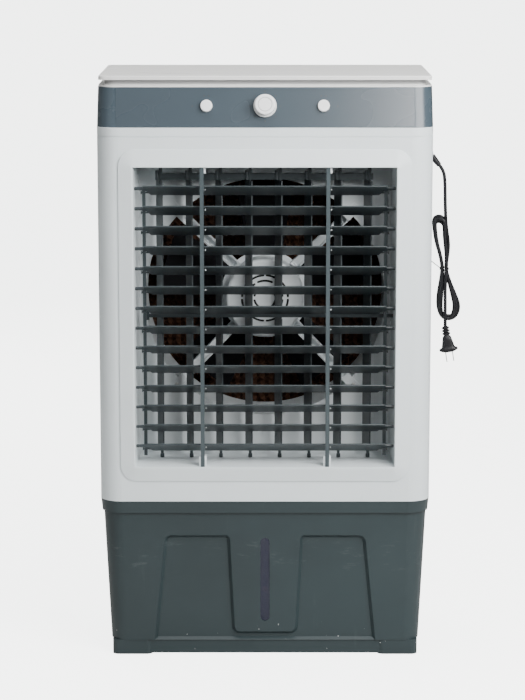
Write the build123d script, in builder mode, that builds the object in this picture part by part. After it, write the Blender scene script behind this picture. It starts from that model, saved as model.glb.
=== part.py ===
"""Floor-standing evaporative cooler: white casing on a grey water tank, with a louvred air outlet.

Millimetres, +Z up, front towards -Y, right towards +X. The origin is on the floor, under the
middle of the casing.
"""

from build123d import *
import math
import os

os.makedirs("parts", exist_ok=True)

# ---------------------------------------------------------------- overall sizes
overall_width = 600.0
overall_depth = 360.0
foot_height = 27.5
tank_height = 241.5
collar_height = 22.0
casing_height = 678.0
control_height = 70.0
neck_height = 12.5
lid_thickness = 7.5

# ---------------------------------------------------------------- clearances
body_gap = 0.3          # between pieces that only meet
moving_gap = 0.8        # between pieces that pass each other
running_gap = 0.05      # radial, pin in bearing
seat_depth = 1.5        # how far a rail is let into a wall

# ---------------------------------------------------------------- casing
wall = 3.0
corner_radius = 40.0
bezel_rise = 8.0        # how far the outlet bezel stands out of the casing
parting_y = 40.0        # where front and rear casings meet
rim_height = 15.0
groove_height = 1.5
groove_depth = 1.2
flange_width = 14.0     # inward flanges at the top and bottom of the casing

# ---------------------------------------------------------------- outlet and its bezel
opening_margin_side = 65.5
opening_margin_bottom = 65.0
opening_margin_top = 69.0
duct_wall = 3.0
duct_draft = 5.0        # how much each duct wall leans in from lip to rear
duct_length = 113.0
bezel_margin_side = 26.5
bezel_margin_bottom = 27.0
bezel_margin_top = 31.0
bezel_radius = 30.0
bezel_edge = 2.0
lip_width = 2.5
lip_radius = 7.0

# ---------------------------------------------------------------- louvres
louvre_count = 14
louvre_front = 14.0     # pivot to front edge
louvre_rear = 31.5      # pivot to rear edge
louvre_thickness = 2.6
louvre_tilt = 26.0      # rear edge down, at rest
louvre_setback = 27.0   # bezel lip to pivot
louvre_gap_bottom = 34.0
louvre_gap_top = 41.0
louvre_end_chord = 9.0  # how far behind the pivot the ends reach beside the link rods
louvre_tab_length = 13.5
louvre_tab_front = 7.0  # the outermost tabs, in front of the pivot and behind it
louvre_tab_rear = 5.0
louvre_end_length = 20.0
louvre_end_chamfer = 8.0
louvre_edge_radius = 0.9
pivot_pin_radius = 2.5
link_arm = 20.0         # pivot to link pin
link_pin_radius = 1.5
link_head_radius = 3.0
link_head_length = 2.0
link_rod_size = 6.0
link_rod_end = 12.0

# ---------------------------------------------------------------- front stays
stay_spacing = 225.0
stay_width = 7.0
stay_depth = 8.0
stay_setback = 3.0
pedestal_height = 20.0
pedestal_width = 13.0
pedestal_back = 6.0     # behind the stay
pedestal_front = 2.0    # stay's face to the front of its cheeks
clip_width = 3.0
clip_radius = 2.5
clip_neck = 4.0

# ---------------------------------------------------------------- swing vanes
vane_count = 8
vane_front = 12.0
vane_thickness = 2.4
vane_yaw = 17.0         # front edges to the right, at rest
vane_louvre_gap = 1.5   # level louvre to vane
vane_cover_gap = 1.0    # vane to motor cover
vane_gap_side = 46.2
vane_pin_radius = 2.0
vane_lift = 16.0        # vane above the duct's floor
vane_foot_radius = 3.7
vane_foot_height = 6.5
vane_neck_radius = 2.7
rail_depth = 12.0
rail_height = 11.0
rail_gap_top = 18.0
rail_end = 6.0          # beyond the outer vanes' pivots
rail_post_width = 6.0
rail_boss_radius = 3.4
rail_boss_shift = 5.7   # bosses to the left of the pivots
rail_boss_rise = 6.0
tie_arm = 8.5
tie_pin_radius = 1.3
tie_height = 6.0
tie_depth = 5.5
tie_notch_height = 12.0
tie_notch_end = 3.5     # where the notch stops, in front of the pivot
tie_level = 268.0       # above the bottom of the outlet
tie_overhang = 34.0
tie_end_length = 10.0
tie_end_height = 16.0

# ---------------------------------------------------------------- swing drive
crank_radius = 9.0
crank_thickness = 4.0
crank_throw = 4.9
crank_pin_radius = 1.5
crank_x_offset = 15.0   # beyond the duct's outer wall
swing_motor_size = 46.0
swing_motor_height = 20.0
yoke_length = 24.0
yoke_width = 18.0
yoke_slot = 4.0

# ---------------------------------------------------------------- fan side
shroud_thickness = 3.0
ring_margin = 15.5      # opening edge to the fan ring
ring_rise = 22.0        # ring centre above the middle of the outlet
ring_wall = 3.0
ring_depth = 117.0
arm_width = 17.0
arm_depth = 14.0
arm_wall = 2.5
arm_foot = 20.0
arm_clearance = 5.0     # arm's inner end to the motor cover, at the back
foot_pad = 3.0
hub_plate = 4.0
hub_border = 9.0        # hub plate beyond the motor cover
cover_air = 8.0         # motor to the inside of its cover
cover_height = 51.0
cover_reach = 12.0      # cover's face in front of the shroud
cover_wall = 2.0
cover_slot = 4.0
cover_slots = ((42.0, 8, 36.0), (32.0, 6, 46.0), (19.5, 4, 64.0))   # radius, count, sweep
motor_radius = 62.0
motor_length = 64.0
motor_setback = 17.0    # cover's face to the motor
shaft_radius = 6.0
shaft_grip = 10.0       # shaft inside the motor's bearing
fan_tip_gap = 27.0      # blade tip to ring
fan_hub_radius = 45.0
fan_hub_length = 38.0
fan_hub_start = 10.0    # behind the motor
fan_blade_count = 5
fan_blade_thickness = 4.0
fan_root_chord = 66.0
fan_tip_chord = 112.0
fan_root_pitch = 38.0
fan_tip_pitch = 22.0
nut_radius = 10.0
nut_length = 8.0

# ---------------------------------------------------------------- wet side
pad_margin = 50.0
pad_thickness = 50.0
pad_back_gap = 14.0     # pad to the inside of the rear casing
pad_bottom = 35.0       # above the casing's lower edge
pad_top = 22.0          # below the casing's upper edge
grille_margin = 30.0
grille_flange = 8.0
grille_border = 24.0
slat_count = 20
slat_thickness = 3.0
slat_depth = 15.0
slat_tilt = 35.0
trough_height = 14.0
trough_wall = 2.0
drip_hole_radius = 2.0
drip_hole_count = 16
pump_inset = 60.0
pump_y = 70.0
pump_size = 56.0
pump_height = 70.0
volute_radius = 18.0
volute_height = 14.0
impeller_radius = 15.0
impeller_height = 9.0
impeller_bore = 3.0
vane_blade = 2.0
hose_radius = 7.0
hose_wall = 2.0
hose_bend = 22.0

# ---------------------------------------------------------------- tank
collar_lip = 2.5        # how far the collar comes in from top to bottom
tank_wall = 4.0
tank_floor = 8.0
tank_inset_top = 5.25
tank_front_inset = 7.75
tank_draft = 12.25      # how far each side comes in from top to bottom
tank_front_draft = 1.5  # and the front and rear
tank_corner = 36.0
tank_front_wall = 12.0
plinth_inset = 4.0
plinth_lift = 2.0
foot_inset = 2.5
foot_front_inset = 1.5
foot_corner = 12.0
foot_length = 74.0
foot_width = 56.0
recess_depth = 7.0
recess_slant = 40.0     # wall lean, degrees
recess_top_drop = 43.0  # below the tank's upper edge
recess_outer_top = 183.0
recess_outer_bottom = 203.0
tab_half_top = 64.0
tab_half_bottom = 54.5
tab_lift = 16.5         # tab's lower end above the tank's lower edge
tab_corner = 9.0
recess_corner = 14.0
window_width = 17.0
window_low = 36.5       # above the tank's lower edge
window_high = 193.5
window_wall = 2.0
window_depth = 22.0
window_recess = 1.0
ball_radius = 5.5
ball_rest = 94.0       # above the tank's lower edge
drain_level = 26.0
drain_x = -170.0
drain_radius = 8.0
drain_cap_radius = 13.0
drain_cap_height = 7.0

# ---------------------------------------------------------------- fill flap
flap_y = 105.0
flap_width = 90.0
flap_height = 52.0
flap_level = 14.0       # above the casing's lower edge
flap_thickness = 5.0
flap_frame = 9.0
flap_pin_radius = 1.5
flap_pin_length = 5.0
flap_gap = 0.6
grip_width = 40.0
grip_height = 10.0
grip_depth = 2.0

# ---------------------------------------------------------------- controls
control_setback = 18.0  # bezel lip to the foot of the control panel
control_tilt = 14.5
control_wall = 3.0
control_taper = 1.5     # each side, bottom to top
control_rise = 37.0     # knobs above the casing's upper edge
overlay_thickness = 0.5
overlay_edge = 1.5      # film to the upper and lower edges of the panel
overlay_margin = 35.0
overlay_corner = 2.0
knob_radius = 18.0
knob_skirt_radius = 20.5
knob_skirt_height = 6.0
knob_height = 20.0
knob_ring_radius = 13.0
knob_ring_width = 1.6
knob_mark_width = 2.0
knob_mark_length = 6.0
knob_shaft_radius = 4.0
knob_hole_gap = 0.4
knob_lift = 1.0
switch_size = 36.0
switch_depth = 24.0
switch_bushing = 14.0   # how deep the knob's stem goes in
button_offset = 104.0
button_radius = 10.5
button_height = 8.0
button_stem = 9.0
button_gap = 0.5

# ---------------------------------------------------------------- lid
lid_inset = 3.0
lid_front = 39.0        # bezel lip to the lid's front edge
lid_back = 15.0
lid_corner = 12.0
neck_corner = 20.0
neck_inset = 10.0
neck_foot = 3.0
neck_foot_inset = 1.0   # flange to the edge of the control housing
lid_edge_radius = 1.8

# ---------------------------------------------------------------- mains lead
cord_radius = 3.15
cord_y = -50.0
gland_level = 907.0
gland_flange_radius = 8.5
gland_flange_height = 6.0
gland_hole_radius = 6.0
gland_inner = 8.0
boot_tilt = 50.0
boot_start_radius = 6.0
boot_end_radius = 4.4
boot_length = 21.0
hank_thickness = 24.0
plug_tilt = 9.0
plug_relief_length = 18.0
plug_body_length = 30.0
prong_length = 18.0
prong_spacing = 12.7

# ---------------------------------------------------------------- places worked out from the sizes
lip_y = -overall_depth / 2
casing_front = lip_y + bezel_rise
casing_back = -casing_front
tank_base = foot_height
collar_base = tank_base + tank_height
casing_base = collar_base + collar_height
control_base = casing_base + casing_height
neck_base = control_base + control_height
lid_base = neck_base + neck_height
half_width = overall_width / 2

opening_half = half_width - opening_margin_side
opening_low = casing_base + opening_margin_bottom
opening_high = control_base - opening_margin_top
opening_mid = (opening_low + opening_high) / 2
duct_back = lip_y + duct_length
duct_half = opening_half + duct_wall


def duct_inset(y):
    """How far the drafted duct wall has come in at depth y."""
    return duct_draft * (y - lip_y) / duct_length


def level_plan(z, width, y_front, y_back, radius):
    """A rounded rectangle lying level at height z."""
    with BuildSketch(Plane.XY.offset(z)) as plan:
        with Locations((0, (y_front + y_back) / 2)):
            RectangleRounded(width, y_back - y_front, radius)
    return plan.sketch


def front_face(y, half, z_low, z_high, radius=0.0):
    """An upright rectangle facing -Y at depth y, with rounded corners if radius is given."""
    with BuildSketch(Plane.XZ.offset(-y)) as face:
        with Locations((0, (z_low + z_high) / 2)):
            if radius > 0:
                RectangleRounded(2 * half, z_high - z_low, radius)
            else:
                Rectangle(2 * half, z_high - z_low)
    return face.sketch


def front_disc(y, radius, z, x=0.0):
    """A disc facing -Y at depth y."""
    with BuildSketch(Plane.XZ.offset(-y)) as disc:
        with Locations((x, z)):
            Circle(radius)
    return disc.sketch


def block(x_span, y_span, z_span, mode=Mode.ADD):
    """A box between two limits on each axis, in the part that is being built."""
    centre = tuple(sum(span) / 2 for span in (x_span, y_span, z_span))
    size = [span[1] - span[0] for span in (x_span, y_span, z_span)]
    with Locations(centre):
        Box(*size, mode=mode)


def rod(start, end, radius, mode=Mode.ADD):
    """A round rod from start to end, in the part that is being built."""
    start, end = Vector(*start), Vector(*end)
    with BuildSketch(Plane(origin=start, z_dir=end - start)) as section:
        Circle(radius)
    extrude(section.sketch, amount=(end - start).length, mode=mode)


def write(piece, name):
    """Label a finished piece and write its STEP file."""
    piece.part.label = name
    export_step(piece.part, f"parts/{name}.step")


# ================================================================ casings
def casing_tube():
    """The casing's wall all the way round, with flanges, rim groove and the outlet's hole."""
    with BuildPart() as tube:
        extrude(
            level_plan(casing_base, overall_width, casing_front, casing_back, corner_radius),
            amount=casing_height,
        )
        inner_radius = corner_radius - wall
        inner_width = overall_width - 2 * wall
        extrude(
            level_plan(casing_base + wall, inner_width, casing_front + wall, casing_back - wall, inner_radius),
            amount=casing_height - 2 * wall,
            mode=Mode.SUBTRACT,
        )
        extrude(
            level_plan(
                casing_base,
                inner_width - 2 * flange_width,
                casing_front + wall + flange_width,
                casing_back - wall - flange_width,
                inner_radius - flange_width,
            ),
            amount=casing_height,
            mode=Mode.SUBTRACT,
        )
        groove_z = control_base - rim_height - groove_height
        with BuildSketch(Plane.XY.offset(groove_z)) as groove:
            RectangleRounded(overall_width + 2, casing_back - casing_front + 2, corner_radius + 1)
            RectangleRounded(
                overall_width - 2 * groove_depth,
                casing_back - casing_front - 2 * groove_depth,
                corner_radius - groove_depth,
                mode=Mode.SUBTRACT,
            )
        extrude(groove.sketch, amount=groove_height, mode=Mode.SUBTRACT)
        extrude(
            front_face(
                casing_front + wall + 1,
                duct_half + body_gap,
                opening_low - duct_wall - body_gap,
                opening_high + duct_wall + body_gap,
            ),
            amount=wall + 2,
            mode=Mode.SUBTRACT,
        )
    return tube.part


far = 2 * (overall_width + overall_depth)
with BuildPart() as front_casing:
    add(casing_tube())
    block((-far, far), (parting_y, far), (0, far), Mode.SUBTRACT)
    rod(
        (half_width + 1, cord_y, gland_level),
        (half_width - wall - 1, cord_y, gland_level),
        gland_hole_radius,
        Mode.SUBTRACT,
    )
write(front_casing, "front_casing")

pad_half = half_width - pad_margin
pad_low = casing_base + pad_bottom
pad_high = control_base - pad_top
pad_back = casing_back - wall - pad_back_gap
pad_front = pad_back - pad_thickness
grille_half = half_width - grille_margin
grille_hole_half = grille_half - grille_border / 2
grille_low = pad_low - grille_border / 2
grille_high = pad_high + grille_border / 4
flap_low = casing_base + flap_level
flap_axis_z = flap_low + flap_gap + flap_thickness / 2
flap_axis_x = -half_width + flap_thickness / 2

with BuildPart() as rear_casing:
    add(casing_tube())
    block((-far, far), (-far, parting_y), (0, far), Mode.SUBTRACT)
    block(
        (-grille_hole_half, grille_hole_half),
        (casing_back - wall - 1, casing_back + 1),
        (grille_low + grille_border / 2, grille_high - grille_border / 2),
        Mode.SUBTRACT,
    )
    block(
        (-half_width + wall / 2, -half_width + flap_frame),
        (flap_y - flap_width / 2 - flap_frame, flap_y + flap_width / 2 + flap_frame),
        (flap_low - flap_frame, flap_low + flap_height + flap_frame),
    )
    block(
        (-half_width - 1, -half_width + flap_frame + 1),
        (flap_y - flap_width / 2, flap_y + flap_width / 2),
        (flap_low, flap_low + flap_height),
        Mode.SUBTRACT,
    )
    pin_reach = flap_width / 2 + flap_pin_length + body_gap
    rod(
        (flap_axis_x, flap_y - pin_reach, flap_axis_z),
        (flap_axis_x, flap_y + pin_reach, flap_axis_z),
        flap_pin_radius + running_gap,
        Mode.SUBTRACT,
    )
write(rear_casing, "rear_casing")

with BuildPart() as fill_flap:
    block(
        (-half_width, -half_width + flap_thickness),
        (flap_y - flap_width / 2 + flap_gap, flap_y + flap_width / 2 - flap_gap),
        (flap_axis_z, flap_low + flap_height - flap_gap),
    )
    rod(
        (flap_axis_x, flap_y - flap_width / 2 + flap_gap, flap_axis_z),
        (flap_axis_x, flap_y + flap_width / 2 - flap_gap, flap_axis_z),
        flap_thickness / 2,
    )
    rod(
        (flap_axis_x, flap_y - flap_width / 2 - flap_pin_length, flap_axis_z),
        (flap_axis_x, flap_y + flap_width / 2 + flap_pin_length, flap_axis_z),
        flap_pin_radius,
    )
    grip_top = flap_low + flap_height - flap_gap - grip_height / 2
    block(
        (-half_width - 1, -half_width + grip_depth),
        (flap_y - grip_width / 2, flap_y + grip_width / 2),
        (grip_top - grip_height, grip_top),
        Mode.SUBTRACT,
    )
write(fill_flap, "fill_flap")

# ================================================================ outlet frame
louvre_y = lip_y + louvre_setback
louvre_low = opening_low + louvre_gap_bottom
louvre_high = opening_high - louvre_gap_top
louvre_pitch = (louvre_high - louvre_low) / (louvre_count - 1)
louvre_levels = [louvre_low + i * louvre_pitch for i in range(louvre_count)]
louvre_wall_half = opening_half - duct_inset(louvre_y)
stay_places = (-stay_spacing / 2, stay_spacing / 2)
stay_front = lip_y + stay_setback
stay_back = stay_front + stay_depth
stay_foot = opening_low + duct_inset(stay_back)

vane_y = louvre_y + louvre_rear + vane_louvre_gap + vane_front
cover_face = duct_back - cover_reach
vane_rear = cover_face - vane_cover_gap - vane_y
cover_radius = motor_radius + cover_air + cover_wall
vane_pitch = 2 * (opening_half - vane_gap_side) / (vane_count - 1)
vane_places = [-opening_half + vane_gap_side + i * vane_pitch for i in range(vane_count)]
tie_z = opening_low + tie_level
tie_y = vane_y - tie_arm * math.cos(math.radians(vane_yaw))
tie_shift = tie_arm * math.sin(math.radians(vane_yaw))
yoke_x = duct_half + crank_x_offset
duct_ceiling = opening_high - duct_inset(vane_y - rail_depth / 2)

with BuildPart() as louvre_frame:
    bezel_half = opening_half + bezel_margin_side
    bezel_low = opening_low - bezel_margin_bottom
    bezel_high = opening_high + bezel_margin_top
    edge_y = casing_front - bezel_edge
    extrude(front_face(casing_front, bezel_half, bezel_low, bezel_high, bezel_radius), amount=bezel_edge)
    loft(
        [
            front_face(edge_y, bezel_half, bezel_low, bezel_high, bezel_radius),
            front_face(
                lip_y,
                opening_half + lip_width,
                opening_low - lip_width,
                opening_high + lip_width,
                lip_radius,
            ),
        ],
        ruled=True,
    )
    block(
        (-duct_half, duct_half),
        (casing_front, duct_back),
        (opening_low - duct_wall, opening_high + duct_wall),
    )
    throat = duct_inset(duct_back + 1)
    loft(
        [
            front_face(lip_y - 1, opening_half, opening_low, opening_high),
            front_face(duct_back + 1, opening_half - throat, opening_low + throat, opening_high - throat),
        ],
        ruled=True,
        mode=Mode.SUBTRACT,
    )
    for stay_x in stay_places:
        block(
            (stay_x - pedestal_width / 2, stay_x + pedestal_width / 2),
            (stay_front + pedestal_front, stay_back + pedestal_back),
            (opening_low - 1, opening_low + pedestal_height),
        )
        block(
            (stay_x - stay_width / 2, stay_x + stay_width / 2),
            (stay_front, stay_back),
            (stay_foot, opening_low + pedestal_height + 1),
            Mode.SUBTRACT,
        )
    for level in louvre_levels:
        rod(
            (-duct_half - 1, louvre_y, level),
            (duct_half + 1, louvre_y, level),
            pivot_pin_radius + running_gap,
            Mode.SUBTRACT,
        )
    for vane_x in vane_places:
        rod(
            (vane_x, vane_y, opening_low - duct_wall - 1),
            (vane_x, vane_y, opening_low + duct_draft + 1),
            vane_pin_radius + running_gap,
            Mode.SUBTRACT,
        )
        block(
            (vane_x - rail_post_width / 2, vane_x + rail_post_width / 2),
            (vane_y - rail_depth / 2, vane_y + rail_depth / 2),
            (duct_ceiling - duct_draft, duct_ceiling + seat_depth),
            Mode.SUBTRACT,
        )
    block(
        (0, duct_half + 1),
        (tie_y - tie_depth, tie_y + tie_depth),
        (tie_z - tie_height, tie_z + tie_height),
        Mode.SUBTRACT,
    )
write(louvre_frame, "louvre_frame")

# ================================================================ louvres
tilt = math.radians(louvre_tilt)
louvre_end_half = louvre_wall_half - moving_gap
rod_x = louvre_end_half - louvre_end_length + link_rod_size / 2 + 1.5
chamfer_start = rod_x - link_rod_size / 2 - 1.5 - louvre_end_chamfer
tab_x = louvre_end_half - louvre_tab_length
pin_end = duct_half - 1.0

for index, level in enumerate(louvre_levels):
    blade_plane = Plane(
        origin=(0, louvre_y, level),
        x_dir=(1, 0, 0),
        z_dir=(0, math.sin(tilt), math.cos(tilt)),
    )
    with BuildPart() as louvre:
        with BuildSketch(blade_plane) as outline:
            with BuildLine():
                Polyline(
                    (0, -louvre_front),
                    (tab_x - 2, -louvre_front),
                    (tab_x, -louvre_tab_front),
                    (louvre_end_half, -louvre_tab_front),
                    (louvre_end_half, louvre_tab_rear),
                    (tab_x, louvre_tab_rear),
                    (tab_x, louvre_end_chord),
                    (chamfer_start + louvre_end_chamfer, louvre_end_chord),
                    (chamfer_start, louvre_rear),
                    (0, louvre_rear),
                )
                mirror(about=Plane.YZ)
            make_face()
            with Locations(*[(x, (clip_radius + 1 - louvre_front) / 2) for x in stay_places]):
                Rectangle(2 * clip_width, louvre_front + clip_radius + 1, mode=Mode.SUBTRACT)
        extrude(outline.sketch, amount=louvre_thickness / 2, both=True)
        long_edges = louvre.edges().filter_by(Axis.X).filter_by(lambda edge: edge.length > 40)
        fillet(long_edges, louvre_edge_radius)
        link_y = louvre_y + link_arm * math.cos(tilt)
        link_z = level - link_arm * math.sin(tilt)
        for side in (-1, 1):
            rod(
                (side * (louvre_end_half - 4), louvre_y, level),
                (side * pin_end, louvre_y, level),
                pivot_pin_radius,
            )
            head_x = rod_x + link_rod_size / 2 + moving_gap
            rod(
                (side * (chamfer_start - 3), link_y, link_z),
                (side * head_x, link_y, link_z),
                link_pin_radius,
            )
            rod(
                (side * head_x, link_y, link_z),
                (side * (head_x + link_head_length), link_y, link_z),
                link_head_radius,
            )
    write(louvre, f"louvre_{index + 1:02d}")

with BuildPart() as link_rods:
    for side in (-1, 1):
        x_span = sorted((side * (rod_x - link_rod_size / 2), side * (rod_x + link_rod_size / 2)))
        drop = link_arm * math.sin(tilt)
        block(
            x_span,
            (link_y - link_rod_size / 2, link_y + link_rod_size / 2),
            (louvre_low - drop - link_rod_end, louvre_high - drop + link_rod_end),
        )
        for level in louvre_levels:
            rod(
                (x_span[0] - 1, link_y, level - drop),
                (x_span[1] + 1, link_y, level - drop),
                link_pin_radius + running_gap,
                Mode.SUBTRACT,
            )
write(link_rods, "link_rods")

with BuildPart() as louvre_stays:
    for stay_x in stay_places:
        block(
            (stay_x - stay_width / 2, stay_x + stay_width / 2),
            (stay_front, stay_back),
            (stay_foot, opening_high - duct_inset(stay_back)),
        )
        for level in louvre_levels:
            block(
                (stay_x - clip_width / 2, stay_x + clip_width / 2),
                (stay_back - 1, louvre_y),
                (level - clip_neck / 2, level + clip_neck / 2),
            )
            rod(
                (stay_x - clip_width / 2, louvre_y, level),
                (stay_x + clip_width / 2, louvre_y, level),
                clip_radius,
            )
write(louvre_stays, "louvre_stays")

# ================================================================ swing vanes
yaw = math.radians(vane_yaw)
rail_high = opening_high - rail_gap_top
duct_floor = opening_low + duct_inset(vane_y + vane_foot_radius)
vane_low = duct_floor + vane_lift
vane_high = rail_high - rail_height - 2
vane_pin = rail_height - 2

for index, vane_x in enumerate(vane_places):
    vane_plane = Plane(
        origin=(vane_x, vane_y, 0),
        x_dir=(-math.sin(yaw), math.cos(yaw), 0),
        z_dir=(math.cos(yaw), math.sin(yaw), 0),
    )
    with BuildPart() as vane:
        with BuildSketch(vane_plane) as outline:
            with Locations(((vane_rear - vane_front) / 2, (vane_low + vane_high) / 2)):
                Rectangle(vane_front + vane_rear, vane_high - vane_low)
            with Locations((-(vane_front + tie_notch_end) / 2, tie_z)):
                Rectangle(vane_front - tie_notch_end + 0.01, tie_notch_height, mode=Mode.SUBTRACT)
        extrude(outline.sketch, amount=vane_thickness / 2, both=True)
        rod(
            (vane_x + tie_shift, tie_y, tie_z - tie_notch_height / 2 - 3),
            (vane_x + tie_shift, tie_y, tie_z + tie_notch_height / 2 + 3),
            tie_pin_radius,
        )
        foot_low = duct_floor + body_gap
        rod((vane_x, vane_y, opening_low - duct_wall + 1), (vane_x, vane_y, foot_low), vane_pin_radius)
        rod((vane_x, vane_y, foot_low), (vane_x, vane_y, foot_low + vane_foot_height), vane_foot_radius)
        rod((vane_x, vane_y, foot_low), (vane_x, vane_y, vane_low + 6), vane_neck_radius)
        rod((vane_x, vane_y, vane_high - 6), (vane_x, vane_y, vane_high + vane_pin), vane_pin_radius)
    write(vane, f"vane_{index + 1}")

with BuildPart() as vane_tie_bar:
    bar_low, bar_high = tie_z - tie_height / 2, tie_z + tie_height / 2
    bar_left = vane_places[0] + tie_shift - tie_overhang
    block(
        (bar_left, yoke_x + tie_shift),
        (tie_y - tie_depth / 2, tie_y + tie_depth / 2),
        (bar_low, bar_high),
    )
    block(
        (bar_left, bar_left + tie_end_length),
        (tie_y - tie_depth / 2, tie_y + tie_depth / 2),
        (tie_z - tie_end_height / 2, tie_z + tie_end_height / 2),
    )
    for vane_x in vane_places:
        rod(
            (vane_x + tie_shift, tie_y, bar_low - 1),
            (vane_x + tie_shift, tie_y, bar_high + 1),
            tie_pin_radius + running_gap,
            Mode.SUBTRACT,
        )
    block(
        (yoke_x + tie_shift - yoke_width / 2, yoke_x + tie_shift + yoke_width / 2),
        (tie_y - yoke_length / 2, tie_y + yoke_length / 2),
        (bar_low, bar_high),
    )
    block(
        (yoke_x + tie_shift - yoke_slot / 2, yoke_x + tie_shift + yoke_slot / 2),
        (tie_y - yoke_length / 2 + yoke_slot, tie_y + yoke_length / 2 - yoke_slot),
        (bar_low - 1, bar_high + 1),
        Mode.SUBTRACT,
    )
write(vane_tie_bar, "vane_tie_bar")

with BuildPart() as vane_rails:
    rail_low = rail_high - rail_height
    block(
        (vane_places[0] - rail_end, vane_places[-1] + rail_end),
        (vane_y - rail_depth / 2, vane_y + rail_depth / 2),
        (rail_low, rail_high),
    )
    for vane_x in vane_places:
        block(
            (vane_x - rail_post_width / 2, vane_x + rail_post_width / 2),
            (vane_y - rail_depth / 2, vane_y + rail_depth / 2),
            (rail_high - 1, duct_ceiling + seat_depth),
        )
        rod(
            (vane_x - rail_boss_shift, vane_y - rail_depth / 2, rail_low),
            (vane_x - rail_boss_shift, vane_y - rail_depth / 2, rail_high + rail_boss_rise),
            rail_boss_radius,
        )
        rod(
            (vane_x, vane_y, rail_low - 1),
            (vane_x, vane_y, rail_high),
            vane_pin_radius + running_gap,
            Mode.SUBTRACT,
        )
write(vane_rails, "vane_rails")

crank_y = vane_y - tie_arm
crank_top = tie_z - tie_height / 2 - 1
with BuildPart() as swing_motor:
    motor_top = crank_top - crank_thickness - 5
    block(
        (duct_half, duct_half + swing_motor_size),
        (crank_y - swing_motor_size / 2, crank_y + swing_motor_size / 2),
        (motor_top - swing_motor_height, motor_top),
    )
    rod((yoke_x, crank_y, motor_top), (yoke_x, crank_y, motor_top + 3), crank_radius)
    rod(
        (yoke_x, crank_y, motor_top + 3 - swing_motor_height),
        (yoke_x, crank_y, motor_top + 4),
        crank_pin_radius + 1 + running_gap,
        Mode.SUBTRACT,
    )
write(swing_motor, "swing_motor")

with BuildPart() as swing_crank:
    disc_low = motor_top + 3 + body_gap
    rod((yoke_x, crank_y, disc_low), (yoke_x, crank_y, disc_low + 1.5), crank_radius)
    rod((yoke_x, crank_y, motor_top - 8), (yoke_x, crank_y, disc_low), crank_pin_radius + 1)
    rod(
        (yoke_x + crank_throw, crank_y, disc_low),
        (yoke_x + crank_throw, crank_y, crank_top),
        crank_pin_radius,
    )
write(swing_crank, "swing_crank")

# ================================================================ fan side
ring_radius = min(opening_half, (opening_high - opening_low) / 2) - ring_margin
ring_z = opening_mid + ring_rise
shroud_back = duct_back + shroud_thickness
pad_front_y = duct_back - foot_pad
cover_back = cover_face + cover_height
motor_front = cover_face + motor_setback
motor_back = motor_front + motor_length

with BuildPart() as fan_shroud:
    extrude(
        front_face(shroud_back, duct_half, opening_low - duct_wall, opening_high + duct_wall),
        amount=shroud_thickness,
    )
    extrude(front_disc(duct_back + ring_depth, ring_radius + ring_wall, ring_z), amount=ring_depth)
    extrude(
        front_disc(duct_back + ring_depth, ring_radius, ring_z),
        amount=ring_depth + 1,
        mode=Mode.SUBTRACT,
    )
write(fan_shroud, "fan_shroud")

with BuildPart() as motor_bracket:
    hub_radius = cover_radius + hub_border
    extrude(front_disc(cover_back + hub_plate, hub_radius, ring_z), amount=hub_plate)
    extrude(
        front_disc(cover_back + hub_plate + 1, motor_radius + running_gap, ring_z),
        amount=hub_plate + 2,
        mode=Mode.SUBTRACT,
    )
    for turn in (45, 135, 225, 315):
        outward = Vector(math.cos(math.radians(turn)), 0, math.sin(math.radians(turn)))
        arm_start = Vector(0, cover_back + hub_plate, ring_z) + outward * (cover_radius + arm_clearance)
        arm_end = Vector(0, pad_front_y + arm_depth, ring_z) + outward * (ring_radius - 2)
        along = (arm_end - arm_start).normalized()
        arm_length = (arm_end - arm_start).length
        forward = (Vector(0, -1, 0) - along * Vector(0, -1, 0).dot(along)).normalized()
        with BuildSketch(Plane(origin=arm_start, x_dir=along, z_dir=forward)) as arm:
            with Locations((arm_length / 2, 0)):
                Rectangle(arm_length, arm_width)
        extrude(arm.sketch, amount=arm_depth)
        with BuildSketch(Plane(origin=arm_start, x_dir=along, z_dir=forward).offset(arm_wall)) as trough:
            with Locations((arm_length / 2, 0)):
                Rectangle(arm_length - 2 * arm_wall, arm_width - 2 * arm_wall)
        extrude(trough.sketch, amount=arm_depth + 1, mode=Mode.SUBTRACT)
        with BuildSketch(Plane.XZ.offset(-duct_back)) as pad:
            with Locations(Location((0, ring_z), turn)):
                with Locations((ring_radius + arm_foot / 2 - 6, 0)):
                    Rectangle(arm_foot + 12, arm_width)
        extrude(pad.sketch, amount=foot_pad)
write(motor_bracket, "motor_bracket")

with BuildPart() as motor_cover:
    extrude(front_disc(cover_back, cover_radius, ring_z), amount=cover_height)
    fillet(motor_cover.faces().sort_by(Axis.Y)[0].edges(), 3 * cover_wall)
    extrude(
        front_disc(cover_back, cover_radius - cover_wall, ring_z),
        amount=cover_height - cover_wall,
        mode=Mode.SUBTRACT,
    )
    for slot_radius, slot_count, slot_sweep in cover_slots:
        for slot in range(slot_count):
            middle = (slot + 0.5) * 360 / slot_count
            with BuildSketch(Plane.XZ.offset(-cover_face - cover_wall - 1)) as slots:
                with Locations((0, ring_z)):
                    arc = Edge.make_circle(
                        slot_radius,
                        start_angle=middle - slot_sweep / 2,
                        end_angle=middle + slot_sweep / 2,
                    )
                    SlotArc(arc, cover_slot)
            extrude(slots.sketch, amount=cover_wall + 2, mode=Mode.SUBTRACT)
write(motor_cover, "motor_cover")

with BuildPart() as fan_motor:
    extrude(front_disc(motor_back, motor_radius, ring_z), amount=motor_length)
    fillet(fan_motor.faces().sort_by(Axis.Y)[-1].edges(), 8)
    rod(
        (0, motor_back + 1, ring_z),
        (0, motor_back - shaft_grip - 0.5, ring_z),
        shaft_radius + running_gap,
        Mode.SUBTRACT,
    )
write(fan_motor, "fan_motor")

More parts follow.
